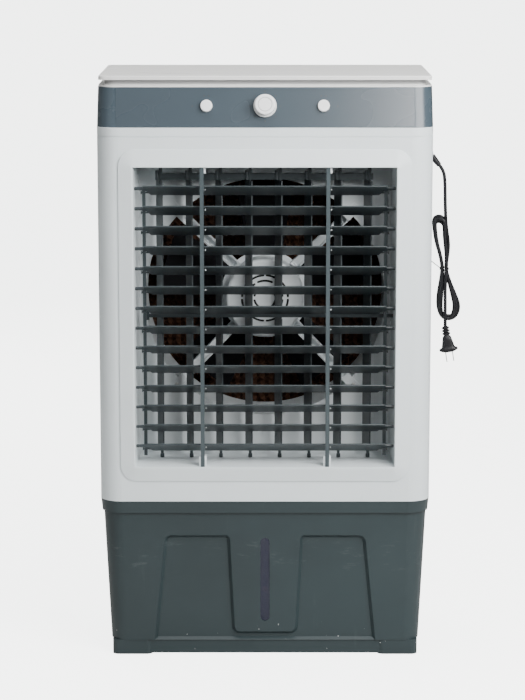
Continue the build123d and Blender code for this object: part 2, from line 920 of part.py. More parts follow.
fan_hub_front = motor_back + fan_hub_start
fan_hub_back = fan_hub_front + fan_hub_length
fan_mid = (fan_hub_front + fan_hub_back) / 2
fan_tip = ring_radius - fan_tip_gap
with BuildPart() as fan:
    rod((0, fan_hub_back, ring_z), (0, fan_hub_front, ring_z), fan_hub_radius)
    for blade in range(fan_blade_count):
        turn = math.radians(90 + blade * 360 / fan_blade_count)
        outward = Vector(math.cos(turn), 0, math.sin(turn))
        sections = []
        for radius, chord, pitch in (
            (fan_hub_radius - 6, fan_root_chord, fan_root_pitch),
            (fan_tip, fan_tip_chord, fan_tip_pitch),
        ):
            centre = Vector(0, fan_mid, ring_z) + outward * radius
            along = Vector(-math.sin(turn), 0, math.cos(turn))
            with BuildSketch(Plane(origin=centre, x_dir=along, z_dir=outward)) as section:
                Rectangle(chord, fan_blade_thickness, rotation=pitch)
            sections.append(section.sketch)
        loft(sections)
    rod(
        (0, fan_hub_back + 1, ring_z),
        (0, fan_hub_front - 1, ring_z),
        shaft_radius,
        Mode.SUBTRACT,
    )
write(fan, "fan")

with BuildPart() as fan_shaft:
    shaft_end = fan_hub_back + nut_length
    rod((0, motor_back - shaft_grip, ring_z), (0, shaft_end, ring_z), shaft_radius)
    with BuildSketch(Plane.XZ.offset(-shaft_end)) as nut:
        with Locations((0, ring_z)):
            RegularPolygon(nut_radius, 6)
    extrude(nut.sketch, amount=nut_length)
write(fan_shaft, "fan_shaft")

# ================================================================ wet side
with BuildPart() as cooling_pad:
    block((-pad_half, pad_half), (pad_front, pad_back), (pad_low, pad_high))
write(cooling_pad, "cooling_pad")

with BuildPart() as rear_grille:
    grille_back = overall_depth / 2
    extrude(front_face(grille_back, grille_half, grille_low, grille_high, 14), amount=grille_flange)
    border = grille_border
    inner_half = grille_half - border
    inner_low, inner_high = grille_low + border, grille_high - border
    extrude(
        front_face(grille_back + 1, inner_half, inner_low, inner_high),
        amount=grille_flange + 2,
        mode=Mode.SUBTRACT,
    )
    slat_pitch = (inner_high - inner_low) / slat_count
    slat_y = grille_back - grille_flange / 2
    for slat in range(slat_count):
        slat_z = inner_low + (slat + 0.5) * slat_pitch
        with BuildSketch(Plane.YZ.offset(-inner_half)) as slat_face:
            with Locations((slat_y - grille_flange / 4, slat_z)):
                Rectangle(slat_depth / 2, slat_thickness, rotation=-slat_tilt)
        extrude(slat_face.sketch, amount=2 * inner_half)
    for upright in (-inner_half / 2, 0, inner_half / 2):
        block((upright - 3, upright + 3), (grille_back - grille_flange, grille_back - 4), (inner_low, inner_high))
write(rear_grille, "rear_grille")

trough_low = pad_high + 1
with BuildPart() as water_distributor:
    block((-pad_half, pad_half), (pad_front, pad_back), (trough_low, trough_low + trough_height))
    block(
        (-pad_half + trough_wall, pad_half - trough_wall),
        (pad_front + trough_wall, pad_back - trough_wall),
        (trough_low + trough_wall, trough_low + trough_height - trough_wall),
        Mode.SUBTRACT,
    )
    hole_pitch = 2 * (pad_half - 20) / (drip_hole_count - 1)
    for hole in range(drip_hole_count):
        hole_x = -pad_half + 20 + hole * hole_pitch
        middle_y = (pad_front + pad_back) / 2
        rod(
            (hole_x, middle_y, trough_low - 1),
            (hole_x, middle_y, trough_low + trough_wall + 1),
            drip_hole_radius,
            Mode.SUBTRACT,
        )
    pump_x = half_width - pump_inset
    hose_z = trough_low + trough_height / 2
    rod(
        (pump_x, pad_front - 1, hose_z),
        (pump_x, pad_front + trough_wall + 1, hose_z),
        hose_radius - hose_wall,
        Mode.SUBTRACT,
    )
write(water_distributor, "water_distributor")

pump_floor = tank_base + tank_floor
with BuildPart() as pump:
    half_pump = pump_size / 2
    block(
        (pump_x - half_pump, pump_x + half_pump),
        (pump_y - half_pump, pump_y + half_pump),
        (pump_floor, pump_floor + pump_height),
    )
    fillet(pump.edges().filter_by(Axis.Z), 10)
    rod(
        (pump_x, pump_y, pump_floor - 1),
        (pump_x, pump_y, pump_floor + volute_height),
        volute_radius,
        Mode.SUBTRACT,
    )
    rod(
        (pump_x, pump_y, pump_floor + volute_height - 1),
        (pump_x, pump_y, pump_floor + pump_height - 16),
        impeller_bore + running_gap,
        Mode.SUBTRACT,
    )
    rod(
        (pump_x, pump_y, pump_floor + pump_height - 12),
        (pump_x, pump_y, pump_floor + pump_height + 1),
        hose_radius - hose_wall,
        Mode.SUBTRACT,
    )
write(pump, "pump")

with BuildPart() as pump_impeller:
    impeller_low = pump_floor + 3
    rod(
        (pump_x, pump_y, impeller_low + impeller_height - 2),
        (pump_x, pump_y, impeller_low + impeller_height),
        impeller_radius,
    )
    rod((pump_x, pump_y, impeller_low), (pump_x, pump_y, pump_floor + pump_height - 20), impeller_bore)
    for blade_turn in range(3):
        with Locations(Location((pump_x, pump_y, impeller_low + impeller_height / 2), (0, 0, 60 * blade_turn))):
            Box(2 * impeller_radius - 2, vane_blade, impeller_height)
write(pump_impeller, "pump_impeller")

with BuildPart() as water_hose:
    with BuildLine() as hose_path:
        FilletPolyline(
            (pump_x, pump_y, pump_floor + pump_height),
            (pump_x, pump_y, hose_z),
            (pump_x, pad_front, hose_z),
            radius=hose_bend,
        )
    with BuildSketch(Plane.XY.offset(pump_floor + pump_height)) as hose_section:
        with Locations((pump_x, pump_y)):
            Circle(hose_radius)
            Circle(hose_radius - hose_wall, mode=Mode.SUBTRACT)
    sweep(hose_section.sketch, path=hose_path.line)
write(water_hose, "water_hose")

# ================================================================ tank and collar
tank_top_half = half_width - tank_inset_top
tank_bottom_half = tank_top_half - tank_draft
tank_front_top = casing_front + tank_front_inset
tank_front_bottom = tank_front_top + tank_front_draft

with BuildPart() as base_collar:
    loft(
        [
            level_plan(
                collar_base,
                overall_width - 2 * collar_lip,
                casing_front + collar_lip,
                casing_back - collar_lip,
                corner_radius - collar_lip,
            ),
            level_plan(casing_base, overall_width, casing_front, casing_back, corner_radius),
        ]
    )
    extrude(
        level_plan(
            collar_base - 1,
            overall_width - 2 * (wall + flange_width),
            casing_front + wall + flange_width,
            casing_back - wall - flange_width,
            corner_radius - wall - flange_width,
        ),
        amount=collar_height + 2,
        mode=Mode.SUBTRACT,
    )
write(base_collar, "base_collar")

lean = math.atan2(tank_front_draft, tank_height)
tank_front_plane = Plane(
    origin=(0, tank_front_bottom, tank_base),
    x_dir=(1, 0, 0),
    z_dir=(0, -math.cos(lean), -math.sin(lean)),
)
drain_z = tank_base + drain_level
drain_wall_y = -tank_front_bottom + tank_front_draft * drain_level / tank_height
window_mid = (window_low + window_high) / 2

with BuildPart() as tank:
    loft(
        [
            level_plan(
                tank_base,
                2 * tank_bottom_half,
                tank_front_bottom,
                -tank_front_bottom,
                tank_corner - 6,
            ),
            level_plan(collar_base, 2 * tank_top_half, tank_front_top, -tank_front_top, tank_corner),
        ]
    )
    loft(
        [
            level_plan(
                tank_base + tank_floor,
                2 * (tank_bottom_half - tank_wall),
                tank_front_bottom + tank_front_wall,
                -tank_front_bottom - tank_wall,
                tank_corner - 12,
            ),
            level_plan(
                collar_base + 1,
                2 * (tank_top_half - tank_wall),
                tank_front_top + tank_front_wall,
                -tank_front_top - tank_wall,
                tank_corner - 8,
            ),
        ],
        mode=Mode.SUBTRACT,
    )
    # two shallow recesses, joined below the raised middle tab
    with BuildSketch(tank_front_plane) as recess:
        top = tank_height - recess_top_drop
        with BuildLine():
            Polyline(
                (-recess_outer_top, top),
                (recess_outer_top, top),
                (recess_outer_bottom, -1),
                (-recess_outer_bottom, -1),
                close=True,
            )
        make_face()
        fillet(recess.vertices().group_by(Axis.Y)[-1], recess_corner)
        with BuildSketch(mode=Mode.PRIVATE) as tab:
            with BuildLine():
                Polyline(
                    (-tab_half_top, top + 1),
                    (tab_half_top, top + 1),
                    (tab_half_bottom, tab_lift),
                    (-tab_half_bottom, tab_lift),
                    close=True,
                )
            make_face()
            fillet(tab.vertices().group_by(Axis.Y)[0], tab_corner)
        add(tab.sketch, mode=Mode.SUBTRACT)
        tab_corners = recess.vertices().filter_by(lambda v: v.Y > top - 2 and abs(v.X) < tab_half_top + 5)
        fillet(tab_corners, tab_corner)
    extrude(recess.sketch, amount=-recess_depth, taper=recess_slant, mode=Mode.SUBTRACT)
    # plinth set back between four corner feet
    extrude(
        level_plan(
            plinth_lift,
            2 * (tank_bottom_half - plinth_inset),
            tank_front_bottom + plinth_inset,
            -tank_front_bottom - plinth_inset,
            tank_corner - 12,
        ),
        amount=foot_height - plinth_lift,
    )
    foot_x = tank_bottom_half - foot_inset - foot_length / 2
    foot_y = -tank_front_bottom - foot_front_inset - foot_width / 2
    for x_side in (-1, 1):
        for y_side in (-1, 1):
            with BuildSketch(Plane.XY) as foot:
                with Locations((x_side * foot_x, y_side * foot_y)):
                    RectangleRounded(foot_length, foot_width, foot_corner)
            extrude(foot.sketch, amount=foot_height)
    with BuildSketch(tank_front_plane) as window_slot:
        with Locations((0, window_mid)):
            SlotOverall(window_high - window_low, window_width, rotation=90)
    extrude(window_slot.sketch, amount=-tank_front_wall - 4, mode=Mode.SUBTRACT)
    extrude(window_slot.sketch, amount=2, mode=Mode.SUBTRACT)
    rod(
        (drain_x, drain_wall_y + 20, drain_z),
        (drain_x, drain_wall_y - 20, drain_z),
        drain_radius,
        Mode.SUBTRACT,
    )
write(tank, "tank")

with BuildPart() as level_window:
    with BuildSketch(tank_front_plane.offset(-window_recess)) as lens:
        with Locations((0, window_mid)):
            SlotOverall(window_high - window_low, window_width, rotation=90)
    extrude(lens.sketch, amount=-window_depth)
    with BuildSketch(tank_front_plane.offset(-window_recess - window_wall)) as channel:
        with Locations((0, window_mid)):
            SlotOverall(
                window_high - window_low - 2 * window_wall,
                window_width - 2 * window_wall,
                rotation=90,
            )
    extrude(channel.sketch, amount=-window_depth + 2 * window_wall, mode=Mode.SUBTRACT)
write(level_window, "level_window")

with BuildPart() as float_ball:
    ball_depth = window_recess + window_depth / 2
    ball_centre = tank_front_plane.from_local_coords((0, ball_rest, -ball_depth))
    with Locations(ball_centre):
        Sphere(ball_radius)
write(float_ball, "float_ball")

with BuildPart() as drain_plug:
    cap_start = drain_wall_y + 1.5
    rod((drain_x, cap_start - 14, drain_z), (drain_x, cap_start, drain_z), drain_radius)
    rod((drain_x, cap_start, drain_z), (drain_x, cap_start + drain_cap_height, drain_z), drain_cap_radius)
    block(
        (drain_x - 2.5, drain_x + 2.5),
        (cap_start + drain_cap_height - 3, cap_start + drain_cap_height + 1),
        (drain_z - drain_cap_radius, drain_z + drain_cap_radius),
        Mode.SUBTRACT,
    )
write(drain_plug, "drain_plug")

# ================================================================ controls
panel_foot = lip_y + control_setback
panel_lean = math.tan(math.radians(control_tilt))
panel_top = panel_foot + control_height * panel_lean
face_tilt = math.radians(control_tilt)
face_normal = Vector(0, -math.cos(face_tilt), math.sin(face_tilt))
knob_z = control_base + control_rise
panel_plane = Plane(
    origin=(0, panel_foot + control_rise * panel_lean, knob_z),
    x_dir=(1, 0, 0),
    z_dir=face_normal,
)

with BuildPart() as control_housing:
    loft(
        [
            level_plan(control_base, overall_width, panel_foot, casing_back, corner_radius - 8),
            level_plan(
                neck_base,
                overall_width - 2 * control_taper,
                panel_top,
                casing_back - 2,
                corner_radius - 8,
            ),
        ]
    )
    inner = control_wall / math.cos(face_tilt)
    loft(
        [
            level_plan(
                control_base + control_wall,
                overall_width - 2 * control_wall,
                panel_foot + inner + control_wall * panel_lean,
                casing_back - control_wall,
                corner_radius - 12,
            ),
            level_plan(
                neck_base + 1,
                overall_width - 2 * (control_taper + control_wall),
                panel_top + inner + panel_lean,
                casing_back - control_wall - 2,
                corner_radius - 12,
            ),
        ],
        mode=Mode.SUBTRACT,
    )
    with BuildSketch(panel_plane) as panel_holes:
        Circle(knob_shaft_radius + knob_hole_gap)
        with Locations((-button_offset, 0), (button_offset, 0)):
            Circle(button_radius + button_gap)
    extrude(panel_holes.sketch, amount=control_wall + 3, both=True, mode=Mode.SUBTRACT)
write(control_housing, "control_housing")

with BuildPart() as control_overlay:
    with BuildSketch(panel_plane) as film:
        film_height = control_height / math.cos(face_tilt) - 2 * overlay_edge
        with Locations((0, (control_height / 2 - control_rise) / math.cos(face_tilt))):
            RectangleRounded(overall_width - 2 * overlay_margin, film_height, overlay_corner)
        Circle(knob_shaft_radius + knob_hole_gap, mode=Mode.SUBTRACT)
        with Locations((-button_offset, 0), (button_offset, 0)):
            Circle(button_radius + button_gap, mode=Mode.SUBTRACT)
    extrude(film.sketch, amount=overlay_thickness)
write(control_overlay, "control_overlay")

with BuildPart() as speed_knob:
    knob_plane = panel_plane.offset(overlay_thickness + knob_lift)
    with BuildSketch(knob_plane) as skirt:
        Circle(knob_skirt_radius)
    extrude(skirt.sketch, amount=knob_skirt_height)
    with BuildSketch(knob_plane.offset(knob_skirt_height)) as cap:
        Circle(knob_radius)
    extrude(cap.sketch, amount=knob_height - knob_skirt_height)
    rim = speed_knob.faces().sort_by(Axis((0, 0, 0), face_normal))[-1].edges()
    fillet(rim, 1.8)
    with BuildSketch(knob_plane.offset(knob_height)) as ring:
        Circle(knob_ring_radius)
        Circle(knob_ring_radius - knob_ring_width, mode=Mode.SUBTRACT)
        with Locations((0, -(knob_ring_radius + knob_mark_length / 2 + 0.4))):
            Rectangle(knob_mark_width, knob_mark_length - 2.4)
    extrude(ring.sketch, amount=-0.8, mode=Mode.SUBTRACT)
    with BuildSketch(knob_plane) as stem:
        Circle(knob_shaft_radius)
    stem_length = knob_lift + overlay_thickness + control_wall + 12
    extrude(stem.sketch, amount=-stem_length)
write(speed_knob, "speed_knob")

with BuildPart() as speed_switch:
    switch_plane = panel_plane.offset(-control_wall)
    with BuildSketch(switch_plane) as switch_face:
        RectangleRounded(switch_size, switch_size, 3)
        Circle(knob_shaft_radius + running_gap, mode=Mode.SUBTRACT)
    extrude(switch_face.sketch, amount=-switch_bushing)
    with BuildSketch(switch_plane.offset(-switch_bushing)) as switch_back:
        RectangleRounded(switch_size, switch_size, 3)
    extrude(switch_back.sketch, amount=switch_bushing - switch_depth)
write(speed_switch, "speed_switch")

for name, side in (("button_left", -1), ("button_right", 1)):
    with BuildPart() as button:
        with BuildSketch(panel_plane.offset(overlay_thickness - button_stem)) as disc:
            with Locations((side * button_offset, 0)):
                Circle(button_radius)
        extrude(disc.sketch, amount=button_stem + button_height)
        top_rim = button.faces().sort_by(Axis((0, 0, 0), face_normal))[-1].edges()
        fillet(top_rim, 1.6)
    write(button, name)

# ================================================================ top cover
with BuildPart() as top_cover:
    lid_y_front = lip_y + lid_front
    lid_y_back = overall_depth / 2 - lid_back
    lid_width = overall_width - 2 * lid_inset
    extrude(level_plan(lid_base, lid_width, lid_y_front, lid_y_back, lid_corner), amount=lid_thickness)
    fillet(top_cover.faces().sort_by(Axis.Z)[-1].edges(), lid_edge_radius)
    extrude(
        level_plan(
            neck_base,
            lid_width - 2 * neck_inset,
            lid_y_front + neck_inset,
            lid_y_back - neck_inset,
            neck_corner,
        ),
        amount=neck_height,
    )
    extrude(
        level_plan(
            neck_base,
            overall_width - 2 * (control_taper + neck_foot_inset),
            panel_top + neck_foot_inset,
            casing_back - 2 - neck_foot_inset,
            corner_radius - 8 - neck_foot_inset,
        ),
        amount=neck_foot,
    )
    extrude(
        level_plan(
            neck_base - 1,
            lid_width - 2 * (neck_inset + control_wall),
            lid_y_front + neck_inset + control_wall,
            lid_y_back - neck_inset - control_wall,
            neck_corner - control_wall,
        ),
        amount=neck_height + 1,
        mode=Mode.SUBTRACT,
    )
write(top_cover, "top_cover")

# ================================================================ mains lead
boot = math.radians(boot_tilt)
boot_dir = Vector(math.cos(boot), 0, -math.sin(boot))
boot_root = Vector(half_width + 4, cord_y, gland_level)
cord_exit = boot_root + boot_dir * boot_length

with BuildPart() as cable_gland:
    rod(
        (half_width - wall - gland_inner, cord_y, gland_level),
        (half_width, cord_y, gland_level),
        gland_hole_radius,
    )
    rod(
        (half_width, cord_y, gland_level),
        (half_width + gland_flange_height, cord_y, gland_level),
        gland_flange_radius,
    )
    with BuildSketch(Plane(origin=boot_root, z_dir=boot_dir)) as boot_base:
        Circle(boot_start_radius)
    with BuildSketch(Plane(origin=cord_exit, z_dir=boot_dir)) as boot_end:
        Circle(boot_end_radius)
    loft([boot_base.sketch, boot_end.sketch])
write(cable_gland, "cable_gland")

lead_first_run = 13.0
lead_route = [
    tuple(cord_exit),
    tuple(cord_exit + boot_dir * lead_first_run),
    (328.5, -49.5, 858.0),
    (329.0, -50.5, 826.0),
    (330.5, -50.0, 790.0),
]
corner_radii = []
for before, corner, after in zip(lead_route, lead_route[1:], lead_route[2:]):
    run_in = Vector(*corner) - Vector(*before)
    run_out = Vector(*after) - Vector(*corner)
    bend = math.radians(run_in.get_angle(run_out))
    corner_radii.append(0.45 * min(run_in.length, run_out.length) / math.tan(bend / 2))

with BuildPart() as power_cord:
    with BuildLine() as cord_path:
        FilletPolyline(*lead_route, radius=corner_radii)
    first_run = Vector(*lead_route[1]) - Vector(*lead_route[0])
    with BuildSketch(Plane(origin=lead_route[0], z_dir=first_run)) as cord_section:
        Circle(cord_radius)
    sweep(cord_section.sketch, path=cord_path.line)
plug_lead = math.radians(plug_tilt)
plug_dir = Vector(math.sin(plug_lead), 0, -math.cos(plug_lead))
plug_top = Vector(331.5, cord_y, 594.0)
lead_tail = plug_top - plug_dir * 16
with BuildPart() as tail_piece:
    rod(tuple(lead_tail), tuple(plug_top), cord_radius)
with BuildPart() as both_leads:
    add(power_cord.part)
    add(tail_piece.part)
write(both_leads, "power_cord")

with BuildPart() as cord_hank:
    with BuildSketch(Plane.XZ.offset(-cord_y + hank_thickness / 2)) as hank_outline:
        with BuildLine():
            Spline(
                (308.0, 799.0),
                (320.0, 796.0),
                (334.0, 791.0),
                (341.0, 750.0),
                (338.0, 718.0),
                (339.0, 692.0),
                (352.0, 665.0),
                (361.5, 636.0),
                (354.0, 608.0),
                (340.0, 600.5),
                (322.0, 611.0),
                (315.0, 640.0),
                (319.0, 675.0),
                (320.0, 700.0),
                (314.0, 735.0),
                (304.5, 778.0),
                periodic=True,
            )
        make_face()
    extrude(hank_outline.sketch, amount=-hank_thickness)
write(cord_hank, "cord_hank")

with BuildPart() as plug:
    relief_end = plug_top + plug_dir * plug_relief_length
    with BuildSketch(Plane(origin=plug_top, x_dir=(0, 1, 0), z_dir=plug_dir)) as relief_start:
        Circle(5.0)
    with BuildSketch(Plane(origin=relief_end, x_dir=(0, 1, 0), z_dir=plug_dir)) as relief_stop:
        Circle(6.0)
    loft([relief_start.sketch, relief_stop.sketch])
    body_end = relief_end + plug_dir * plug_body_length
    with BuildSketch(Plane(origin=relief_end, x_dir=(0, 1, 0), z_dir=plug_dir)) as body_start:
        RectangleRounded(12, 13, 4)
    with BuildSketch(Plane(origin=body_end - plug_dir * 8, x_dir=(0, 1, 0), z_dir=plug_dir)) as body_stop:
        RectangleRounded(15, 25, 5)
    loft([body_start.sketch, body_stop.sketch])
    with BuildSketch(Plane(origin=body_end - plug_dir * 8, x_dir=(0, 1, 0), z_dir=plug_dir)) as nose:
        RectangleRounded(17, 33, 6)
    extrude(nose.sketch, amount=8)
    with BuildSketch(Plane(origin=body_end, x_dir=(0, 1, 0), z_dir=plug_dir)) as prongs:
        with Locations((0, -prong_spacing / 2), (0, prong_spacing / 2)):
            Rectangle(6.3, 1.5)
    extrude(prongs.sketch, amount=prong_length)
write(plug, "plug")
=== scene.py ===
"""Looks of the evaporative cooler: finishes for its shells and blades, its mains lead, pad, print and screws.

Everything is in metres in the model's own frame: +Z up, the air outlet towards -Y.
"""

import logging
import math
from collections.abc import Callable, Iterable, Mapping, Sequence
from dataclasses import dataclass
from enum import Enum

import bmesh
import bpy
from mathutils import Euler, Matrix, Vector

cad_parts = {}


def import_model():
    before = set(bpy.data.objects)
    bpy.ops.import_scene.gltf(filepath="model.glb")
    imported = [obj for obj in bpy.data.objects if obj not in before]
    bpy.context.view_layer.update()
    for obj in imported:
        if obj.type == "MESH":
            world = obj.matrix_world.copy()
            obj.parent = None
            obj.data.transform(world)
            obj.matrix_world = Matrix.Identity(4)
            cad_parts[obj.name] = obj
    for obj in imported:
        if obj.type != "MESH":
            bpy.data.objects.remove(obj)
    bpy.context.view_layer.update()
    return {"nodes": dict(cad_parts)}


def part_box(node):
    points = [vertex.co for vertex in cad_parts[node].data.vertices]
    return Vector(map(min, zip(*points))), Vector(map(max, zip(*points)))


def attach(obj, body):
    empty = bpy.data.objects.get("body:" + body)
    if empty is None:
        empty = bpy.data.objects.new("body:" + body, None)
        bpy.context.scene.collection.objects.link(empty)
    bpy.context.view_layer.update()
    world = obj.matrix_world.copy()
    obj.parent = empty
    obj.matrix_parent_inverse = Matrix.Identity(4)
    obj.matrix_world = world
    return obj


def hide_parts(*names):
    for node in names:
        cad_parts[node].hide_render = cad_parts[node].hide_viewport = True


logging.basicConfig(level=logging.INFO, format="%(name)s: %(message)s")
LOG = logging.getLogger("cooler")

MM = 0.001
PANEL_LEAN = 14.5  # degrees by which the control band leans back
Point = tuple[float, float, float]
Colour = tuple[float, float, float]


class Side(Enum):
    """A side of the cooler, as its sign along X."""

    LEFT = -1
    RIGHT = 1


class Surface(Enum):
    """How a moulding's skin was textured in the tool."""

    POLISHED = "polished"
    SATIN = "satin"
    GRAINED = "grained"


# ---------------------------------------------------------------- node graphs
class Graph:
    """Builds one node tree, for a material or for Geometry Nodes."""

    def __init__(self, tree: bpy.types.NodeTree) -> None:
        """Start on an empty tree.

        Args:
            tree: The node tree that is filled.
        """
        self.tree = tree

    def node(
        self,
        kind: str,
        settings: Mapping[str, object] | None = None,
        inputs: Mapping[str | int, object] | None = None,
    ) -> bpy.types.Node:
        """Add a node, set its settings, then fill its sockets.

        Args:
            kind: The node's type name.
            settings: Attributes of the node, set before its sockets are filled.
            inputs: Values, signals or sockets by socket name or number.

        Returns:
            The new node.
        """
        made = self.tree.nodes.new(kind)
        for name, value in (settings or {}).items():
            setattr(made, name, value)
        for key, value in (inputs or {}).items():
            self.fill(made.inputs[key], value)
        return made

    def fill(self, socket: bpy.types.NodeSocket, value: object) -> None:
        """Give a socket a value, or link a signal or another socket to it."""
        if isinstance(value, Signal):
            self.tree.links.new(value.socket, socket)
        elif isinstance(value, bpy.types.NodeSocket):
            self.tree.links.new(value, socket)
        else:
            socket.default_value = value

    def signal(self, node: bpy.types.Node, output: str | int = 0) -> "Signal":
        """Wrap one output of a node, so that it can stand in an expression."""
        return Signal(self, node.outputs[output])


class Signal:
    """A number coming out of a socket; arithmetic on it adds Math nodes."""

    def __init__(self, graph: Graph, socket: bpy.types.NodeSocket) -> None:
        """Wrap a socket of a graph.

        Args:
            graph: The graph that the socket belongs to.
            socket: The output socket.
        """
        self.graph = graph
        self.socket = socket

    def _math(self, operation: str, first: object, second: object = None, third: object = None) -> "Signal":
        """Add a Math node on up to three values."""
        values = {i: v for i, v in enumerate((first, second, third)) if v is not None}
        made = self.graph.node("ShaderNodeMath", {"operation": operation}, values)
        return self.graph.signal(made)

    def __add__(self, other: object) -> "Signal":
        """Sum."""
        return self._math("ADD", self, other)

    __radd__ = __add__

    def __mul__(self, other: object) -> "Signal":
        """Product."""
        return self._math("MULTIPLY", self, other)

    __rmul__ = __mul__

    def __sub__(self, other: object) -> "Signal":
        """Difference."""
        return self._math("SUBTRACT", self, other)

    def __rsub__(self, other: object) -> "Signal":
        """Difference from a number."""
        return self._math("SUBTRACT", other, self)

    def __truediv__(self, other: object) -> "Signal":
        """Quotient."""
        return self._math("DIVIDE", self, other)

    def __pow__(self, other: object) -> "Signal":
        """Power."""
        return self._math("POWER", self, other)

    def __abs__(self) -> "Signal":
        """Absolute value."""
        return self._math("ABSOLUTE", self)

    def sine(self) -> "Signal":
        """Sine."""
        return self._math("SINE", self)

    def floor(self) -> "Signal":
        """Whole number below."""
        return self._math("FLOOR", self)

    def clamp(self, low: float = 0.0, high: float = 1.0) -> "Signal":
        """Held between two limits."""
        return self._math("MINIMUM", self._math("MAXIMUM", self, low), high)

    def step(self, low: float, high: float) -> "Signal":
        """0 below low and 1 above high, smooth in between."""
        made = self.graph.node(
            "ShaderNodeMapRange",
            {"interpolation_type": "SMOOTHSTEP"},
            {"Value": self, "From Min": low, "From Max": high},
        )
        return self.graph.signal(made)


class Shader(Graph):
    """A material's tree with the usual sources at hand."""

    def __init__(self, name: str) -> None:
        """Make a new material with a Principled surface.

        Args:
            name: The material's name.
        """
        self.material = bpy.data.materials.new(name)
        self.material.use_nodes = True
        super().__init__(self.material.node_tree)
        self.tree.nodes.clear()
        self.surface = self.node("ShaderNodeBsdfPrincipled")
        self.output = self.node("ShaderNodeOutputMaterial", inputs={"Surface": self.surface.outputs[0]})
        self.place = self.node("ShaderNodeTexCoord").outputs["Object"]

    def stretched(self, scale: Point) -> bpy.types.NodeSocket:
        """The object's own coordinates, scaled along each axis."""
        return self.node("ShaderNodeMapping", inputs={"Vector": self.place, "Scale": scale}).outputs[0]

    def noise(
        self, scale: float, detail: float = 3.0, roughness: float = 0.55, stretch: Point | None = None
    ) -> Signal:
        """A noise value about 0.5.

        Args:
            scale: Features per metre.
            detail: Octaves.
            roughness: How strong the fine octaves are.
            stretch: Scale along each axis, or None.

        Returns:
            The noise as a signal.
        """
        where = self.stretched(stretch) if stretch else self.place
        made = self.node(
            "ShaderNodeTexNoise",
            inputs={"Vector": where, "Scale": scale, "Detail": detail, "Roughness": roughness},
        )
        return self.signal(made, "Fac")

    def axes(self) -> tuple[Signal, Signal, Signal]:
        """The object's own X, Y and Z."""
        made = self.node("ShaderNodeSeparateXYZ", inputs={0: self.place})
        return self.signal(made, 0), self.signal(made, 1), self.signal(made, 2)

    def mix(self, factor: Signal | float, first: object, second: object) -> bpy.types.NodeSocket:
        """Blend two colours.

        Args:
            factor: 0 for the first, 1 for the second.
            first: A colour or a colour socket.
            second: A colour or a colour socket.

        Returns:
            The blended colour's socket.
        """
        made = self.node("ShaderNodeMix", {"data_type": "RGBA"}, {0: factor})
        for key, value in ((6, first), (7, second)):
            self.fill(made.inputs[key], (*value, 1.0) if isinstance(value, tuple) else value)
        return made.outputs[2]

    def bump(self, height: Signal, depth: float, strength: float = 1.0) -> None:
        """Send a height through a Bump node to the surface's normal.

        Args:
            height: 0 to 1.
            depth: What a height of 1 stands for, in metres.
            strength: The Bump node's strength.
        """
        made = self.node("ShaderNodeBump", inputs={"Strength": strength, "Distance": depth, "Height": height})
        self.fill(self.surface.inputs["Normal"], made.outputs[0])

    def set(self, **values: object) -> None:
        """Set the surface's own sockets, with underscores for spaces in their names."""
        for name, value in values.items():
            if isinstance(value, tuple) and len(value) == 3 and name.endswith(("Color", "Tint")):
                value = (*value, 1.0)
            self.fill(self.surface.inputs[name.replace("_", " ")], value)


# ---------------------------------------------------------------- finishes
def scaled(colour: Colour, share: float) -> Colour:
    """A colour made darker or lighter, and never brighter than white."""
    return tuple(min(1.0, channel * share) for channel in colour)


@dataclass(frozen=True)
class MouldedPlastic:
    """Injection-moulded plastic with a tool texture, faint cloudiness and handling marks.

    Args:
        name: Material name.
        slot: The record's slot.
        colour: Base colour.
        surface: Tool texture.
        roughness: Middle roughness.
        cloud: Share by which the colour drifts.
        dust: How far the colour lifts where dust and scuffs lie.
        dust_colour: Colour of dust and scuffs.
        sheen: Coat weight of the skin.
        shine: Specular level of the skin.
    """

    name: str
    slot: str
    colour: Colour
    surface: Surface = Surface.SATIN
    roughness: float = 0.4
    cloud: float = 0.05
    dust: float = 0.05
    dust_colour: Colour = (0.6, 0.6, 0.58)
    sheen: float = 0.0
    shine: float = 0.5

    def build(self) -> bpy.types.Material:
        """Build the material.

        Returns:
            The finished material.
        """
        shade = Shader(self.name)
        clouds = shade.noise(5.0, detail=4.0)
        specks = shade.noise(170.0, detail=2.0)
        scuffs = shade.noise(16.0, detail=6.0, roughness=0.7, stretch=(1.0, 1.0, 2.4)).step(0.6, 0.78)
        darker = scaled(self.colour, 1 - self.cloud)
        lighter = scaled(self.colour, 1 + self.cloud)
        drift = shade.mix(clouds.step(0.35, 0.65), darker, lighter)
        worn = shade.mix(scuffs * specks.step(0.4, 0.6) * self.dust, drift, self.dust_colour)
        shade.set(Base_Color=worn, Specular_IOR_Level=self.shine, Coat_Roughness=0.12)
        shade.set(Coat_Weight=self.sheen)
        rough = (clouds - 0.5) * 0.10 + (scuffs * 0.12 + self.roughness)
        shade.set(Roughness=rough.clamp(0.05, 0.95))
        grain, depth = {
            Surface.POLISHED: (700.0, 0.00001),
            Surface.SATIN: (1500.0, 0.00003),
            Surface.GRAINED: (900.0, 0.00008),
        }[self.surface]
        shade.bump(shade.noise(grain, detail=2.0), depth)
        return shade.material


